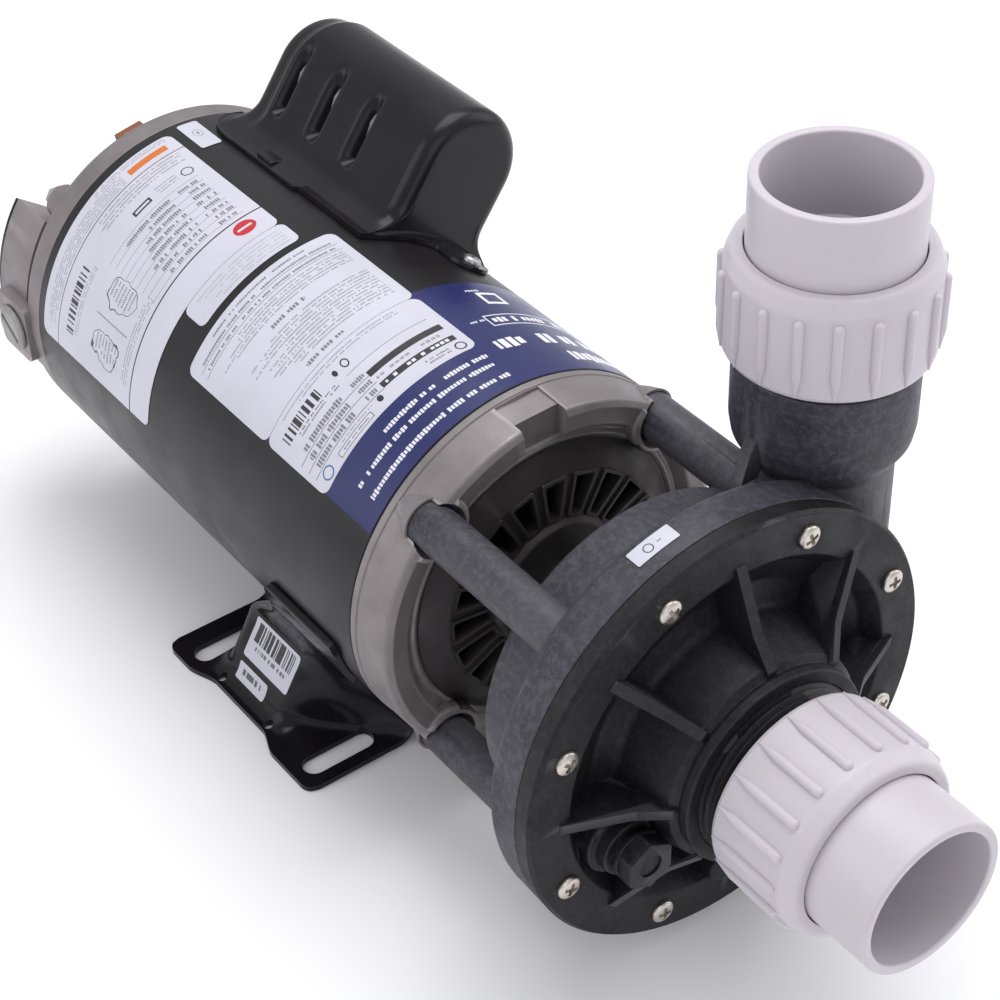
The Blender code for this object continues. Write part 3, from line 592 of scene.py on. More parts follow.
def terminal_box():
    """The terminal box's flat cover and screws, the conduit plug and the bonding tab."""
    rear = BOX_REAR - GAP - 2.4
    inner, outer = BOX_RADII
    outline = sector(inner + 0.5, outer - 0.5, BOX_ANGLES[0] + 0.5, BOX_ANGLES[1] - 0.5, 24)
    plate = prism(outline, "X", rear, BOX_REAR - GAP)
    field = sector(inner + 5, outer - 5, BOX_ANGLES[0] + 6, BOX_ANGLES[1] - 6, 24)
    plate = join(plate, prism(field, "X", rear - 0.8, rear + 1))
    piece("terminal_plate", plate, "pump", BASE_ENAMEL, ["terminal_cover"], 0.5, 38)
    for i, angle in enumerate((BOX_ANGLES[0] + 1.9, BOX_ANGLES[1] - 1.9)):
        place = Matrix.Translation((rear - 0.05, *polar(50, angle))) @ Matrix.Rotation(math.pi, 4, "Z")
        screw(f"terminal_cover_screw_{i + 1}", place, 2.4, 2.3, ZINC, 25)
    middle = (CONDUIT_X, 0, CONDUIT_Z)
    profile = [(-75.4, 0), (-75.4, 7.6, 0.7), (-74.4, 9.4, 0.4), (-73 - GAP, 9.4), (-73 - GAP, 8.2),
               (-64, 8.2), (-64, 0)]
    plug = turned(eased(profile, 4), "Y", MIDDLE, middle)
    slot = moved(block((-6.8, 6.8), (-80, -74.0), (-1.2, 1.2)),
                 Matrix.Translation(middle) @ Matrix.Rotation(math.radians(35), 4, "Y"))
    plug = cut(plug, slot)
    piece("conduit_plug_moulding", plug, "conduit_plug", GREY_PLASTIC, ["conduit_plug"],
          0.3, 38)
    tab = about_shaft(block((-209.3, -206 - GAP), (-6, 6), (55, 65.9)), BONDING_ANGLE)
    tab = cut(tab, rod("X", -212, -204, 2.2, SMALL, (0, *polar(60, BONDING_ANGLE))))
    piece("bonding_tab", tab, "pump", TARNISHED, ["bonding_lug"], 0.4, 38)


def through_bolts():
    for i, angle in enumerate(QUARTERS):
        spot = polar(BOLT_CIRCLE, angle)
        head = prism([polar(4.55, 60 * side, spot) for side in range(6)], "X", -212.3, -209.4)
        washer = rod("X", -209.9, -209.3, 4.6, SMALL, (0, *spot))
        bolt = join_each(head, washer, rod("X", -209.6, 58, 2.2, 20, (0, *spot)))
        piece(f"through_bolt_shape_{i + 1}", bolt, "pump", ZINC, [f"through_bolt_{i + 1}"],
              0.3, 38)


def pan_head(radius, height, turn):
    """A pan head with a cross recess, standing on the origin and facing +X."""
    profile = [(0, 0), (0, radius)]
    for i in range(7):
        a = math.radians(15 * i)
        profile.append((height * (0.35 + 0.65 * math.sin(a)), radius * math.cos(a) if i < 6 else 0))
    head = turned(profile, sides=SMALL)
    for quarter in (0, 90):
        width, length = 0.16 * radius, 0.58 * radius
        bar = block((0.3 * height, 2 * height), (-width, width), (-length, length))
        head = cut(head, moved(bar, Matrix.Rotation(math.radians(turn + quarter), 4, "X")))
    return head


def screw(node, place, radius, height, look, turn):
    piece(node + "_head", moved(pan_head(radius, height, turn), place), "pump", look, [node])


SEAT = SHELL_RADIUS + GAP
FLANGE_HALF = 28.4
CAN_REAR, CAN_FRONT = -178.0, -77.4
FLUTES_X = (-162.0, -138.5, -114.5)


def flange_half(x):
    """Half of the flange's angle about the shaft, which narrows to a screw tab at each end."""
    if x < -174:
        return 11 + (FLANGE_HALF - 11) * math.sqrt(max(0.0, 1 - ((x + 174) / 13.2) ** 2))
    if x < -79:
        return FLANGE_HALF + (0.5 if x < -121 else -0.6)
    if x < -66:
        return 6.8 + (FLANGE_HALF - 7.4) * (1 - smooth((x + 80) / 14))
    return 6.8 * math.sqrt(max(0.004, 1 - max(0.0, (x + 58) / 8.8) ** 2))


def flute_depth(x, v):
    """How far the pressed flutes pull the wall in at a height above the shaft."""
    fade = smooth((v - 77) / 7) * smooth((111 - v) / 12)
    depth = 0.0
    for middle in FLUTES_X:
        depth += 5.6 * math.exp(-((x - middle) / 2.4) ** 2)
    return depth * fade


def can_section(x, inset, rise):
    """Outline of the cover at x, from flat on the shell (rise 0) to its full height (rise 1)."""
    half = flange_half(x)
    lip = SEAT + (2.2 if -119 < x < -76 else 1.5)
    side = curve_through([polar(lip, 90 - half + 1.0), (31.0, 66.6), (28.0, 69.3), (25.4, 72.1),
                          (24.0, 75.2), (23.4, 79.0), (CAN_HALF_WIDTH, 84)], 4)
    side += [Vector((CAN_HALF_WIDTH, 84 + (CAN_CENTRE - 84) * i / 10)) for i in range(1, 10)]
    side += [Vector(point) for point in arc(CAN_HALF_WIDTH, 0, 90, 22, (0, CAN_CENTRE))]
    points = []
    for i, full in enumerate(side):
        flat = Vector(polar(lip - 0.3, 90 - (half - 1.0) * (1 - i / (len(side) - 1))))
        pull = inset * smooth((full.y - 66) / 14) + flute_depth(x, full.y)
        middle = Vector((0, min(full.y, CAN_CENTRE)))
        full = full - pull * (full - middle).normalized()
        points.append(flat.lerp(full, rise))
    edge = [Vector(polar(SEAT, 90 - half)), Vector(polar(lip, 90 - half + 0.15))]
    right = edge + points
    left = [Vector((-point.x, point.y)) for point in reversed(right[:-1])]
    under = [Vector(polar(SEAT, 90 + half - 2 * half * i / 24)) for i in range(1, 24)]
    return right + left + under


def lofted(sections):
    """Join outlines of equal length, each given as (x, outline), into one closed shape."""
    bm = bmesh.new()
    rings = [[bm.verts.new((x, u, v)) for u, v in outline] for x, outline in sections]
    bm.faces.new(rings[0])
    bm.faces.new(rings[-1])
    for low, high in zip(rings, rings[1:]):
        for i in range(len(low)):
            j = (i + 1) % len(low)
            bm.faces.new([low[i], low[j], high[j], high[i]])
    return bm


def capacitor_cover():
    rear, front = CAN_REAR, CAN_FRONT
    stations = [(CAN_LOW.x + (rear - CAN_LOW.x) * i / 12, 6.0, 0.0) for i in range(13)]
    stations += [(rear, 6.0, 1.0)]
    stations += [(rear + ahead, inset, 1.0) for ahead, inset in
                 ((0.5, 4.2), (1.5, 2.9), (3.2, 2.1), (6, 1.95), (8.6, 1.8), (9.8, 1.2), (11, 0.4),
                  (12.4, 0))]
    first, last = rear + 12.4, front - 6.4
    stations += [(first + (last - first) * i / 140, 0.0, 1.0) for i in range(1, 141)]
    stations += [(front - 6.2 + 6.2 * math.sin(math.radians(a)), 6.2 * (1 - math.cos(math.radians(a))), 1.0)
                 for a in range(9, 91, 9)]
    stations += [(front + (CAN_HIGH.x - front) * i / 40, 6.2, 0.0) for i in range(41)]
    can = lofted([(x, can_section(x, inset, rise)) for x, inset, rise in stations])
    about_shaft(can, CAN_ANGLE)
    piece("capacitor_can", can, "pump", CAN_ENAMEL, ["capacitor_cover"], angle=50)
    for i, x in enumerate((CAN_LOW.x + 4.3, CAN_HIGH.x - 7.0)):
        place = outward(CAN_ANGLE) @ Matrix.Translation((x, 0, SEAT + 1.3))
        place = place @ Matrix.Rotation(-math.pi / 2, 4, "Y")
        screw(f"capacitor_cover_screw_{i + 1}", place, 3.6, 2.6, ZINC, 30)
    clip = prism(sector(SEAT + 0.8, SEAT + 2.8, 76.5, 81.5, 4), "X", -149, -139)
    piece("can_clip", clip, "pump", CAN_ENAMEL, bevel=0.6)


# ---------------------------------------------------------------- base

FOOT_OUTER = 81.5
FOOT_TOP = FLOOR + 2.4
SHEET = 2.2
SLOTS_X = (-80.1, -3.9)
SADDLE = [(77.4, FOOT_TOP), (74.2, FOOT_TOP + 0.3), (70.0, -82.5), (67.2, -76.5), (62.6, -68.6),
          (58.6, -61.5), (58.2, -55), (60.2, -47), (62.4, -40.5), (62.5, -38)]


def foot(side):
    """One pressed foot: flat round its slots, and raised into a saddle between them."""
    flat = [(y, FOOT_TOP) for y in (FOOT_OUTER, 75, 66, 56, 46)]
    flat += [(39.5, FOOT_TOP + 0.1), (35.6, FOOT_TOP + 2.4), (34.3, -79), (33.2, -72), (31.5, -67.3)]
    flat = curve_through(flat, 5)
    saddle = curve_through(SADDLE, 5)
    corner = 5.0
    count = 96
    bm = bmesh.new()
    top = []
    for i in range(count + 1):
        x = BASE_LOW.x + (BASE_HIGH.x - BASE_LOW.x) * i / count
        edge = max(0.0, corner - (x - BASE_LOW.x), corner - (BASE_HIGH.x - x))
        pull = corner - math.sqrt(max(0.0, corner * corner - edge * edge))
        row = []
        for j, (low, high) in enumerate(zip(flat, saddle)):
            inward = smooth((64 - low.x) / 30)
            rear_low, rear_high = -79 - 12 * inward, -64 + 28 * smooth((high.y + 62) / 22)
            front_low, front_high = -18 + 26 * inward, -32 + 3 * inward
            rise = smooth((x - rear_low) / (rear_high - rear_low))
            rise *= smooth((front_low - x) / (front_low - front_high))
            y, z = low.lerp(high, rise)
            y -= pull * smooth(1 - j / 5)
            row.append(bm.verts.new((x, side * y, z)))
        top.append(row)
    for low, high in zip(top, top[1:]):
        for j in range(len(low) - 1):
            quad = [low[j], low[j + 1], high[j + 1], high[j]]
            bm.faces.new(quad if side > 0 else reversed(quad))
    bm.normal_update()
    up = 1 if sum(face.normal.z for face in bm.faces) > 0 else -1
    under = [[bm.verts.new(vert.co - up * SHEET * vert.normal) for vert in row] for row in top]
    for low, high in zip(under, under[1:]):
        for j in range(len(low) - 1):
            bm.faces.new([low[j], high[j], high[j + 1], low[j + 1]])
    borders = [(top[0], under[0]), (top[-1], under[-1]),
               ([row[0] for row in top], [row[0] for row in under]),
               ([row[-1] for row in top], [row[-1] for row in under])]
    for above, below in borders:
        for a, b, c, d in zip(above, above[1:], below[1:], below):
            bm.faces.new([a, b, c, d])
    holes = [prism(slot_outline(x, side * 61.9, 9.5, 30), "Z", FLOOR - 4, FLOOR + 9) for x in SLOTS_X]
    holes += [rod("Z", FLOOR - 4, FLOOR + 9, 1.9, SMALL, (x, side * 74.6, 0)) for x in (-64.3, -31.7)]
    return cut(bm, *holes)


def cradle_wing(side, inner, outer):
    """The part of the saddle that follows the shell upwards, with a thicker lip along its top edge."""
    low_angle, top_angle, corner = 214, 190, 6.0
    bm = bmesh.new()
    rings = []
    for i in range(41):
        rise = i / 40
        angle = low_angle + (top_angle - low_angle) * rise
        left = math.radians(angle - top_angle) * outer
        pull = corner - math.sqrt(corner ** 2 - max(0.0, corner - left) ** 2)
        rear, front = -37 + 10 * rise + pull, 10 + 8.5 * rise - pull
        raised = outer + 0.5 * smooth((4.5 - left) / 1.5) - 0.8 * smooth((0.8 - left) / 0.8)
        ring = []
        for x, radius in ((rear, inner), (front, inner), (front, raised), (rear, raised)):
            y, z = polar(radius, angle)
            ring.append(bm.verts.new((x, -side * y, z)))
        rings.append(ring)
    bm.faces.new(rings[0])
    bm.faces.new(rings[-1])
    for low, high in zip(rings, rings[1:]):
        for i in range(4):
            j = (i + 1) % 4
            bm.faces.new([low[i], low[j], high[j], high[i]])
    return bm


def base():
    inner, outer = SHELL_RADIUS + 0.4, SHELL_RADIUS + 2.6
    trough = prism(sector(inner, outer, 236, 304, 40), "X", BASE_LOW.x + 1, BASE_HIGH.x - 1)
    saddle = prism(sector(inner, outer, 211, 329, 60), "X", -37, 10)
    cradle = join(trough, saddle)
    cradle = join(cradle, cradle_wing(-1, inner, outer), cradle_wing(1, inner, outer))
    piece("base_cradle", cradle, "pump", BASE_ENAMEL, ["base"], 0.5, 50)
    for name, side in (("near", -1), ("far", 1)):
        made = cut(foot(side), rod("X", -120, 30, inner, LARGE))
        piece("base_foot_" + name, made, "pump", BASE_ENAMEL, angle=50)


# ---------------------------------------------------------------- pump end

def threads(first, last, depth):
    """Ridges of a thread as profile points along an axis."""
    made = []
    along = first
    while along + THREAD_PITCH <= last:
        made += [(along, THREAD_RADIUS - depth), (along + 0.45 * THREAD_PITCH, THREAD_RADIUS),
                 (along + 0.6 * THREAD_PITCH, THREAD_RADIUS)]
        along += THREAD_PITCH
    return made


def screw_holes(low, high):
    return [rod("X", low, high, SCREW_HOLE, 16, (0, *polar(SCREW_CIRCLE, angle))) for angle in SCREW_ANGLES]


def bracket():
    """The legs, ring, chamber and discharge neck, which are one moulding."""
    profile = eased([(72, 11), (72, 19, 1), (86, 21, 2), (88.3, 25, 2), (88, 58, 2.5), (91, 61.5, 1.5),
                     (115, 62.5, 3), (115.5, 76, 0.5), (120, SEAM_RADIUS - 0.4, 5),
                     (SEAM_X, SEAM_RADIUS, 0.5), (SEAM_X, 57), (93, 57), (93, 17.5), (85.5, 17.5),
                     (85.5, 14.2), (76, 14.2), (76, 11)], 5)
    leg = eased([(LEG_ROOT, 0), (LEG_ROOT, LEG_RADIUS, 1), (113.8, LEG_RADIUS), (118, LEG_RADIUS),
                 (118, 0)], 6)
    legs = [turned(leg, sides=64, centre=(0, *polar(LEG_CIRCLE, angle))) for angle in QUARTERS]
    body = join(turned(profile), *legs)
    centre = (DISCHARGE_X, DISCHARGE_Y, 0)
    neck = eased([(-7, 0), (-7, 19, 7), (4, 24.5, 6), (63, 24.5, 4), (70, 29.4, 5), (76, 30.4, 3),
                  (100.5, 30.4, 1), (101, 29.4, 0.4), (103, 29.4)], 5)
    neck += threads(104, DISCHARGE_END - 2, 1.1)
    neck += [(DISCHARGE_END, THREAD_RADIUS - 1), (DISCHARGE_END, 0)]
    body = join(body, turned(neck, "Z", MIDDLE, centre))
    fin = eased([(62, 20), (93.6, 26, 2), (93.6, 68, 3), (97.5, 72, 3), (98.4, 86, 1), (94, 88.6, 1),
                 (62, 89)], 4)
    fin = prism(fin, "X", DISCHARGE_X - 2.6, DISCHARGE_X + 2.6)
    gusset = prism(eased([(30, 64), (37, 64), (45.5, 84, 2), (45.5, 90, 2), (41, 90, 2), (33, 74)], 3),
                   "X", DISCHARGE_X - 2.4, DISCHARGE_X + 2.4)
    body = join_each(body, fin, gusset)
    body = cut(body, rod("X", SEAM_X, 170, 84, LARGE))
    body = cut(body, rod("X", RING_FACE, SEAM_X + 5, SEAM_RADIUS - 2.2, LARGE))
    body = cut(body, rod("X", 93, RING_FACE + 5, 57, LARGE))
    bore = [(2, 0), (2, 17), (64, 17), (72, PORT_BORE), (DISCHARGE_END + 5, PORT_BORE),
            (DISCHARGE_END + 5, 0)]
    body = cut(body, turned(bore, "Z", MIDDLE, centre))
    seal = [(122.8, 65), (122.8, 69), (RING_FACE + 3, 69), (RING_FACE + 3, 65)]
    body = cut(body, turned(seal))
    body = cut(body, *screw_holes(118, 140))
    piece("bracket_moulding", body, "pump", BRACKET_PLASTIC, ["wet_end_bracket"],
          0.5, 42)


def suction_cover():
    """The ribbed front cover with its threaded neck and its eight screws."""
    end = SUCTION_END
    profile = eased([
        (COVER_BACK, 28.5), (COVER_BACK, SEAM_RADIUS - 2.6), (SEAM_X + 0.2, SEAM_RADIUS - 2.6),
        (SEAM_X + 0.2, SEAM_RADIUS, 0.5), (139, SEAM_RADIUS + 0.2, 0.8), (COVER_FACE, 80.4, 0.6),
        (COVER_FACE, 65.6, 1.5), (134.5, 60.5, 3), (131.8, 52, 3), (134.5, 43.5, 4), (150, 40, 2),
        (155.5, 38.6, 0.8), (157, 36.2, 0.6), (158.6, 36.6, 0.8), (161.5, 36.4, 1), (162, 32, 0.5)], 5)
    neck = threads(162.5, end - 3, 1.2)
    neck += [(end, THREAD_RADIUS - 1), (end, PORT_BORE), (130, PORT_BORE), (130, 28.5)]
    cover = turned(profile + neck)
    rib = eased([(129, 34), (157, 34), (157.4, 38.4, 1), (150, 48.5, 12), (141.2, 69.5, 1),
                 (139.5, 70), (129, 66)], 4)
    cover = join(cover, *[about_shaft(prism(rib, "Y", -1.9, 1.9), 45 * i) for i in range(8)])
    spot = polar(DRAIN_CIRCLE, DRAIN_ANGLE)
    boss = eased([(129, 0), (129, 14.5), (141.5, 13.2, 1.5), (141.5, 11, 1), (146.5, 10.6, 1), (146.5, 0)])
    boss = turned(boss, sides=48, centre=(0, *spot))
    low_boss = rod("X", 129, 143.5, 6.5, 36, (0, *polar(60, 268)), 1.2)
    cover = join_each(cover, boss, low_boss)
    cover = cut(cover, rod("X", 134, 155, 6.3, 32, (0, *spot)))
    cover = cut(cover, *screw_holes(120, 150))
    piece("suction_cover_moulding", cover, "pump", COVER_PLASTIC, ["suction_cover"],
          0.6, 40)
    for i, angle in enumerate(SCREW_ANGLES):
        place = Matrix.Translation((COVER_FACE + 0.1, *polar(SCREW_CIRCLE, angle)))
        screw(f"cover_screw_{i + 1}", place, 4.3, 2.2, STAINLESS, 17 * i)


def drain_plug():
    spot = polar(DRAIN_CIRCLE, DRAIN_ANGLE)
    washer = eased([(148.7, 0), (148.7, 9.2, 0.5), (150.3, 9.2, 0.5), (150.3, 0)])
    washer = turned(washer, sides=48, centre=(0, *spot))
    head = [polar(9.4, 60 * i + 30, spot) for i in range(6)]
    head = prism(eased([(*point, 0.8) for point in head], 3), "X", 149.5, 156.3)
    dimple = rod("X", 155.6, 158, 4.2, SMALL, (0, *spot))
    plug = join(washer, head)
    plug = cut(plug, dimple)
    plug = join(plug, rod("X", 136, 149, 5.9, 32, (0, *spot)))
    piece("drain_plug_moulding", plug, "drain_plug", COVER_PLASTIC, ["drain_plug"],
          0.5, 34)


def union(prefix, axis, end, centre):
    """A union nut with rounded ribs, and the slip tailpiece that it holds."""
    back, front, lip = end - 22.2, end + 14.0, end + 6.8
    profile = eased([(back, 31.9), (back, 33.6, 0.6), (back + 1.5, 34.3, 1), (front - 5.5, 34.2, 5),
                     (front, 32, 2.5), (front, TAIL_RADIUS + 0.45, 0.5), (lip, TAIL_RADIUS + 0.45),
                     (lip, 31.9)], 6)
    nut = turned(profile, axis, LARGE, centre)
    across = [place for name, place in AXES.items() if name != axis]
    rib_end = front - 8.6
    rib = [(back + 1.2, 0), (back + 1.2, 0.3), (back + 9, RIB_RADIUS)]
    rib += [(rib_end + along, radius) for radius, along in arc(RIB_RADIUS, 0, 90, 5)[:-1]]
    rib.append((rib_end + RIB_RADIUS, 0))
    ribs = []
    for i in range(UNION_RIBS):
        spot = list(centre)
        for place, value in zip(across, polar(34.45, 360 / UNION_RIBS * i)):
            spot[place] += value
        ribs.append(turned(rib, axis, 20, spot))
    nut = join(nut, *ribs)
    piece(prefix + "_nut_moulding", nut, prefix + "_nut", PVC, [prefix + "_union_nut"],
          0.35, 40)
    tip = end + 38.7
    tail = eased([(end + GAP, 31, 0.6), (end + 6.3, 31, 0.6), (end + 6.3, TAIL_RADIUS),
                  (tip, TAIL_RADIUS, 1.1), (tip, TAIL_BORE + 0.2, 1.0), (tip - 30, TAIL_BORE - 0.3),
                  (tip - 31, 22.4, 0.6), (end + GAP, 22.2)], 5)
    piece(prefix + "_tail_moulding", turned(tail, axis, LARGE, centre), "pump", PVC,
          [prefix + "_tailpiece"])


# ---------------------------------------------------------------- labels

def sheet(name, x, path, look, corner, lift=0.12, square=""):
    """A thin printed sheet that follows a path of (y, z) points, with rounded corners.

    Its UV map holds millimetres: u along the path, v along the shaft from the sheet's rear edge.
    The corners of its "rear" or "front" edge can be left square, to meet another sheet.
    """
    path = [Vector(point) for point in path]
    lengths = [0.0]
    for a, b in zip(path, path[1:]):
        lengths.append(lengths[-1] + (b - a).length)
    total = lengths[-1]
    ends = [corner * (1 - math.cos(math.radians(15 * i))) for i in range(7)]
    stops = ends + [at for at in lengths if corner < at < total - corner]
    stops += [total - at for at in reversed(ends)]
    bm = bmesh.new()
    layer = bm.loops.layers.uv.new("print")
    sections = []
    place = 0
    for stop in stops:
        while place < len(path) - 2 and lengths[place + 1] < stop:
            place += 1
        step = path[place + 1] - path[place]
        point = path[place] + step * ((stop - lengths[place]) / step.length)
        out = Vector((step.y, -step.x)).normalized()
        edge = max(0.0, corner - stop, corner - (total - stop))
        pull = corner - math.sqrt(max(0.0, corner ** 2 - edge ** 2))
        section = []
        for height in (lift, lift + 0.1):
            for along in (x[0] if square == "rear" else x[0] + pull,
                          x[1] if square == "front" else x[1] - pull):
                section.append((bm.verts.new((along, *(point + out * height))), (stop, along - x[0])))
        sections.append(section)
    quads = [[sections[0][i] for i in (0, 1, 3, 2)], [sections[-1][i] for i in (0, 1, 3, 2)]]
    for low, high in zip(sections, sections[1:]):
        quads += [[low[a], low[b], high[b], high[a]] for a, b in ((2, 3), (0, 1), (0, 2), (1, 3))]
    for quad in quads:
        face = bm.faces.new([vert for vert, uv in quad])
        for loop, (vert, uv) in zip(face.loops, quad):
            loop[layer].uv = uv
    piece(name, bm, "pump", look.material, angle=40)


def round_shell(start, end, radius=SHELL_RADIUS):
    return arc(radius, start, end, max(12, int(abs(end - start) * 1.2)))


INK, GREY_INK, WHITE_INK = (0.03, 0.027, 0.032), (0.17, 0.16, 0.18), (0.80, 0.80, 0.86)


class Print(Look):
    """A printed sheet whose marks are placed in millimetres on the sheet's own map."""

    def __init__(self, name, paper, roughness=0.34):
        super().__init__(name, paper, roughness)
        split = self.node("ShaderNodeSeparateXYZ")
        self.feed(split.inputs[0], self.node("ShaderNodeUVMap", uv_map="print").outputs[0])
        self.u, self.v = split.outputs[0], split.outputs[1]
        self.patches(scaled(paper, 0.86), (30, 4), 0.4, 0.7, 0.6)
        self.gloss(self.noise(70, 4), roughness * 0.8, roughness * 1.3)
        self.bump(self.noise(500, 2), 0.02, 0.4)

    def product(self, *amounts):
        total = amounts[0]
        for amount in amounts[1:]:
            total = self.maths("MULTIPLY", total, amount)
        return total

    def within(self, value, low, high):
        return self.maths("COMPARE", value, (low + high) / 2, abs(high - low) / 2)

    def area(self, u, v):
        return self.product(self.within(self.u, *u), self.within(self.v, *v))

    def chance(self, *cell):
        """A fixed random number from 0 to 1 for each cell."""
        joined = self.node("ShaderNodeCombineXYZ")
        for socket, value in zip(joined.inputs, cell):
            self.feed(socket, value)
        made = self.node("ShaderNodeTexWhiteNoise", noise_dimensions="3D")
        self.feed(made.inputs["Vector"], joined.outputs[0])
        return made.outputs["Value"]

    def cells(self, value, size):
        return self.maths("FLOOR", self.maths("DIVIDE", value, size))

    def box(self, u, v, ink=INK):
        self.tint(ink, self.area(u, v))

    def frame(self, u, v, width, ink, fill):
        """A box with an outline, filled with another ink."""
        self.box(u, v, ink)
        self.box((u[0] + width, u[1] - width), (v[0] + width, v[1] - width), fill)

    def rule(self, u, v, width, ink=INK):
        self.box(u, (v - width / 2, v + width / 2), ink)

    def rows(self, u, v, pitch, height=0.5, mark=0.75, ragged=0.15, ink=INK, strength=0.7):
        """Lines of small blocks that stand for words: they run along u and are stacked along v."""
        steps = self.maths("DIVIDE", self.maths("SUBTRACT", self.v, v[0]), pitch)
        line = self.maths("FLOOR", steps)
        cell = self.chance(self.cells(self.u, mark), line, v[0])
        away = self.maths("ABSOLUTE", self.maths("SUBTRACT", self.maths("FRACT", steps), 0.5))
        band = self.maths("LESS_THAN", away, self.spread(cell, 0.2, 0.9, 0.32 * height, 0.5 * height))
        letters = self.maths("LESS_THAN", self.maths("FRACT", self.maths("DIVIDE", self.u, mark)), 0.74)
        shown = self.maths("GREATER_THAN", cell, 0.17)
        end = self.spread(self.chance(line, v[1], 5.0), 0, 1, u[1] - ragged * (u[1] - u[0]), u[1])
        before_end = self.maths("LESS_THAN", self.u, end)
        self.tint(ink, self.product(self.area(u, v), band, letters, shown, before_end, strength))

    def lines(self, u, v, pitch, width, ink=INK):
        """Thin rules along u, repeated along v."""
        steps = self.maths("FRACT", self.maths("DIVIDE", self.maths("SUBTRACT", self.v, v[0]), pitch))
        self.tint(ink, self.product(self.area(u, v), self.within(steps, 0, width / pitch)))

    def bars(self, u, v, cell):
        """Stripes of uneven width across u, as on a bar code."""
        stripe = self.maths("GREATER_THAN", self.chance(self.cells(self.u, cell), v[0], 3.0), 0.48)
        self.tint(INK, self.product(self.area(u, v), stripe))

    def strokes(self, u, v, cell, row, share, strength=1.0):
        """Stripes of uneven width across v; a higher share leaves more paper between them."""
        stripe = self.maths("GREATER_THAN", self.chance(self.cells(self.v, cell), row, 2.0), share)
        self.tint(INK, self.product(self.area(u, v), stripe, strength))

    def ring(self, u, v, radius, width, ink=INK, stretch=1.0, wobble=0.0):
        """A round outline, or a closed wavy one; a width of the radius or more fills it."""
        across = self.maths("DIVIDE", self.maths("SUBTRACT", self.u, u), stretch)
        down = self.maths("SUBTRACT", self.v, v)
        away = self.maths("SQRT", self.maths("ADD", self.maths("MULTIPLY", across, across),
                                             self.maths("MULTIPLY", down, down)))
        if wobble:
            away = self.maths("ADD", away, self.spread(self.noise(150, 1), 0.3, 0.7, -wobble, wobble))
        self.tint(ink, self.within(away, max(0.0, radius - width), radius))


PAPER = (0.60, 0.595, 0.675)
BLUE = (0.014, 0.020, 0.105)
SEAL_BLUE = (0.02, 0.15, 0.32)


def rear_label():
    """White rating label in two halves with a rule round the shell between them."""
    look = Print("rear_label_print", PAPER)
    look.rows((3, 44), (0.8, 3.6), 1.3, ink=GREY_INK)
    look.rows((26, 92), (3.6, 10.4), 1.35, ink=GREY_INK)
    look.box((5, 23), (5.0, 8.4), (0.62, 0.16, 0.03))
    look.rule((0, 98), 11.4, 0.42)
    look.rows((4, 50), (12.6, 20.0), 1.8, ink=GREY_INK)
    look.ring(7.5, 26.0, 2.6, 0.5)
    look.frame((25, 34), (24.6, 27.6), 0.9, INK, PAPER)
    look.rows((12, 22), (23, 28), 1.6, ink=GREY_INK)
    look.bars((61, 89), (17.5, 22.5), 0.6)
    look.rows((58, 90), (23.4, 26.2), 1.4, ink=GREY_INK)
    sheet("rear_label_rear_half", (-184.9, -154.6), round_shell(95.3, 174), look, 3.5, square="front")
    look = Print("rear_label_table", PAPER)
    look.rows((7, 17), (1.6, 33.6), 4.0, 0.55, 1.0, 0.3)
    look.rows((21, 46), (1.6, 33.6), 4.0, 0.55, 1.0, 0.5)
    look.lines((6, 54), (0.9, 34), 4.0, 0.2, GREY_INK)
    for middle in (60.5, 82.5):
        look.ring(middle, 16, 10.0, 0.5, stretch=0.62, wobble=1.9)
        look.rows((middle - 4.5, middle + 4.5), (8, 24), 2.2, 0.5, 1.0, 0.3, strength=0.6)
    look.rows((53, 91), (28.6, 32.6), 1.5, 0.5, 0.9, 0.1, GREY_INK)
    look.rule((71.3, 71.7), 16, 22, GREY_INK)
    look.rule((0, 98), 35.8, 0.7)
    look.ring(10.7, 41.3, 3.9, 4, (0.50, 0.022, 0.03), stretch=1.2)
    look.rule((7.6, 13.8), 41.3, 1.2, PAPER)
    sheet("rear_label_front_half", (-154.6, -105.2), round_shell(95.3, 174), look, 3.5, square="rear")
    strip = Print("side_strip", PAPER)
    strip.rows((3, 46), (2.0, 11.8), 2.0, 0.45, 0.9, 0.35, (0.36, 0.35, 0.38), 0.7)
    sheet("rear_label_strip", (-105.0, -91.8), round_shell(95.0, 134.8), strip, 3.0)


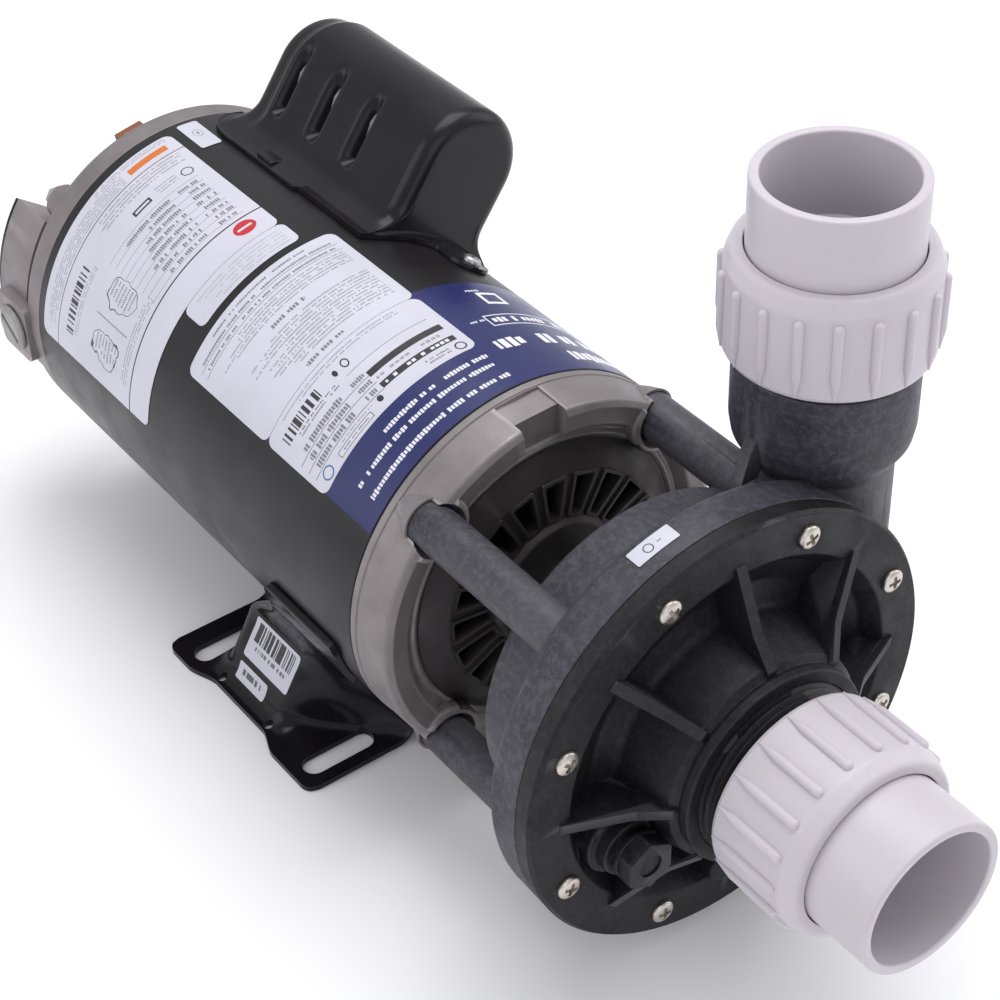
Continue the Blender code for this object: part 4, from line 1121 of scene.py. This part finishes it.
def front_label():
    """White label of two sheets: small print at the rear, a table and two black bars at the front."""
    look = Print("front_label_print", PAPER)
    look.rows((14, 60), (2.0, 4.0), 2.0, 0.6, 0.95, 0.0)
    look.rows((4, 70), (5.0, 7.2), 2.2, 0.6, 0.95, 0.0)
    look.rule((3, 73), 7.6, 0.2)
    look.rows((5, 70), (8.6, 10.8), 2.2, 0.6, 0.95, 0.0)
    look.rule((3, 73), 11.2, 0.2)
    look.rows((4, 74), (12.4, 20.4), 1.6, 0.55, 0.75, 0.3, GREY_INK)
    look.rows((28, 45), (22.2, 25.4), 3.2, 0.66, 1.3, 0.0)
    look.rows((4, 72), (27.2, 46.0), 1.7, 0.55, 0.75, 0.4, GREY_INK)
    look.rows((27, 46), (47.4, 50.4), 3.0, 0.66, 1.3, 0.0)
    sheet("front_label_rear_sheet", (-88.0, -35.6), round_shell(86.4, 147.9), look, 3.5)
    look = Print("front_label_table", PAPER)
    look.rows((10, 66), (1.4, 4.6), 1.6, 0.5, 0.75, 0.2, GREY_INK)
    look.ring(37, 8.2, 2.3, 0.7, stretch=0.7)
    look.ring(42, 8.6, 1.6, 2, stretch=0.6)
    look.bars((46, 71), (6.0, 11.0), 0.5)
    look.rows((44, 66), (11.6, 14.6), 1.5, 0.6, 0.9, 0.1)
    look.rows((36, 42), (16.2, 29.4), 4.5, 0.55, 1.0, 0.0)
    look.rows((47, 70), (16.2, 29.4), 4.5, 0.66, 1.3, 0.1)
    look.lines((35, 74), (20.4, 30), 4.5, 0.25)
    look.rule((5, 40), 13.4, 0.2)
    look.box((3.5, 35), (18.4, 21.6))
    look.box((3.5, 35), (26.4, 29.4))
    look.rows((7, 34), (22.6, 25.2), 2.6, 0.6, 2.2, 0.0, INK, 0.5)
    look.rows((6, 33), (26.8, 29.0), 2.2, 0.7, 2.0, 0.0, WHITE_INK, 0.85)
    look.ring(4.8, 33.2, 2.2, 0.6)
    look.rows((9, 19), (31.2, 34.6), 1.6, 0.6, 0.9, 0.1)
    look.ring(38.5, 31.6, 1.5, 2, stretch=0.8)
    look.rows((42, 58), (30.4, 31.8), 1.4, 0.5, 0.75, 0.0, GREY_INK)
    look.frame((44, 62), (32.4, 35.2), 0.25, INK, PAPER)
    look.rows((46, 60), (33.0, 34.6), 1.6, 0.5, 0.9, 0.1)
    look.ring(69.0, 33.0, 2.7, 0.6, SEAL_BLUE)
    sheet("front_label_front_sheet", (-35.4, 1.4), round_shell(86.4, 147.9), look, 3.5)


def blue_band():
    """Blue band under the front label, which goes over the top of the shell."""
    look = Print("blue_band_print", BLUE, 0.28)
    look.patches((0.026, 0.036, 0.15), (12, 2), 0.4, 0.7, 0.7)
    look.rows((86, 150.5), (57.4, 60.8), 3.4, 0.7, 1.35, 0.0, WHITE_INK, 0.9)
    look.rows((86, 151.5), (50.0, 53.2), 3.2, 0.7, 1.3, 0.0, WHITE_INK, 0.9)
    look.rows((86, 131), (44.6, 47.8), 3.2, 0.7, 1.3, 0.0, WHITE_INK, 0.9)
    look.rows((30, 79.5), (38.5, 47.5), 9, 0.75, 3.4, 0.0, WHITE_INK, 0.95)
    look.rows((30, 56), (51.0, 60.0), 9, 0.75, 3.4, 0.0, WHITE_INK, 0.95)
    look.frame((34, 72), (24.4, 31.8), 0.5, WHITE_INK, BLUE)
    look.rows((36, 70), (25.6, 30.6), 5, 0.7, 2.2, 0.0, WHITE_INK, 0.95)
    look.rows((72.5, 79), (26, 28), 2, 0.7, 1.0, 0.0, WHITE_INK, 0.8)
    look.frame((53, 63), (8, 16.6), 1.5, WHITE_INK, BLUE)
    look.rows((60, 68), (5.4, 7.4), 2, 0.7, 1.3, 0.0, WHITE_INK, 0.9)
    sheet("blue_band", (-38.4, SHELL_FRONT - 0.3), round_shell(18, 147.3), look, 0.4, 0.02)


def small_stickers():
    """The stickers on the shell and the ring, and the two labels on the near foot."""
    look = Print("shell_sticker_print", PAPER)
    look.ring(4.4, 9.0, 2.6, 0.3, GREY_INK, stretch=0.75)
    look.rule((3.9, 4.7), 9.0, 1.8, GREY_INK)
    sheet("shell_sticker", (-187.3, -167.3), round_shell(84.4, 91.6), look, 1.2)
    look = Print("ring_sticker_print", PAPER)
    look.ring(10.0, 3.3, 1.8, 0.4)
    look.rule((5.0, 6.6), 3.3, 0.5, GREY_INK)
    sheet("ring_sticker", (121.2, 127.8), round_shell(99.2, 110.8, SEAM_RADIUS - 0.1), look, 0.6)
    slope = [Vector((-y, z)) for y, z in curve_through(SADDLE, 12) if -84.2 < z < -60]
    slope = sorted(slope, key=lambda point: -point.y)
    look = Print("code_label_print", PAPER)
    look.strokes((1.6, 9.6), (2.5, 27.0), 0.5, 4.0, 0.5)
    look.strokes((11.0, 12.6), (5.0, 25.0), 0.5, 8.0, 0.4, 0.8)
    upper = [point for point in slope if point.y > -75.4]
    sheet("code_label", (-60, -30.5), upper, look, 1.2)
    look = Print("small_label_print", PAPER)
    look.strokes((2.2, 4.8), (3.0, 16.0), 0.8, 5.0, 0.35, 0.85)
    lower = [point for point in slope if point.y < -77.6]
    sheet("small_label", (-60, -41), lower, look, 1.0)


# ---------------------------------------------------------------- stage

def stage():
    """A plain pale floor."""
    bpy.ops.mesh.primitive_plane_add(size=30, location=(0, 0, 0))
    floor = bpy.context.object
    floor.name = "floor"
    look = Look("floor_white", (0.97, 0.97, 0.98), 0.8)
    look.patches((0.94, 0.94, 0.95), (2, 3), 0.3, 0.8, 0.2)
    floor.data.materials.append(look.material)


def light(name, place, size, power):
    """A square softbox that faces the pump."""
    lamp = bpy.data.lights.new(name, "AREA")
    lamp.size = size
    lamp.energy = power
    holder = bpy.data.objects.new(name, lamp)
    holder.location = place
    holder.rotation_euler = (Vector((0, 0, 0.1)) - Vector(place)).to_track_quat("-Z", "Y").to_euler()
    bpy.context.collection.objects.link(holder)


def lights():
    light("top_softbox", (-0.2, 0.3, 1.6), 1.3, 17)
    light("left_softbox", (-0.6, -1.5, 0.9), 1.2, 5.5)
    light("front_softbox", (1.6, -0.5, 0.8), 1.1, 3)
    light("right_softbox", (0.5, 1.5, 0.9), 1.2, 6)
    world = bpy.data.worlds.new("studio")
    bpy.context.scene.world = world
    world.use_nodes = True
    world.node_tree.nodes["Background"].inputs["Color"].default_value = (0.97, 0.96, 1.0, 1)
    world.node_tree.nodes["Background"].inputs["Strength"].default_value = 0.62
    bpy.context.scene.view_settings.view_transform = "Standard"


def camera():
    """Looks down the pump from its suction end, with a slight roll."""
    place = Vector((0.5423, -0.3858, 0.6364))
    target = Vector((-0.046, 0.0347, 0.0407))
    roll = math.radians(-1.83)
    lens = bpy.data.cameras.new("camera")
    lens.lens = 86.6
    holder = bpy.data.objects.new("camera", lens)
    aim = (target - place).to_track_quat("-Z", "Y").to_matrix().to_4x4()
    holder.matrix_world = Matrix.Translation(place) @ aim @ Matrix.Rotation(roll, 4, "Z")
    bpy.context.collection.objects.link(holder)
    bpy.context.scene.camera = holder


# ---------------------------------------------------------------- build

dress_frame()
motor_shell()
rear_bell()
front_bell()
terminal_box()
through_bolts()
capacitor_cover()
base()
bracket()
suction_cover()
drain_plug()
union("suction", "X", SUCTION_END, (0, 0, 0))
union("discharge", "Z", DISCHARGE_END, (DISCHARGE_X, DISCHARGE_Y, 0))
rear_label()
front_label()
blue_band()
small_stickers()
stage()
lights()
camera()
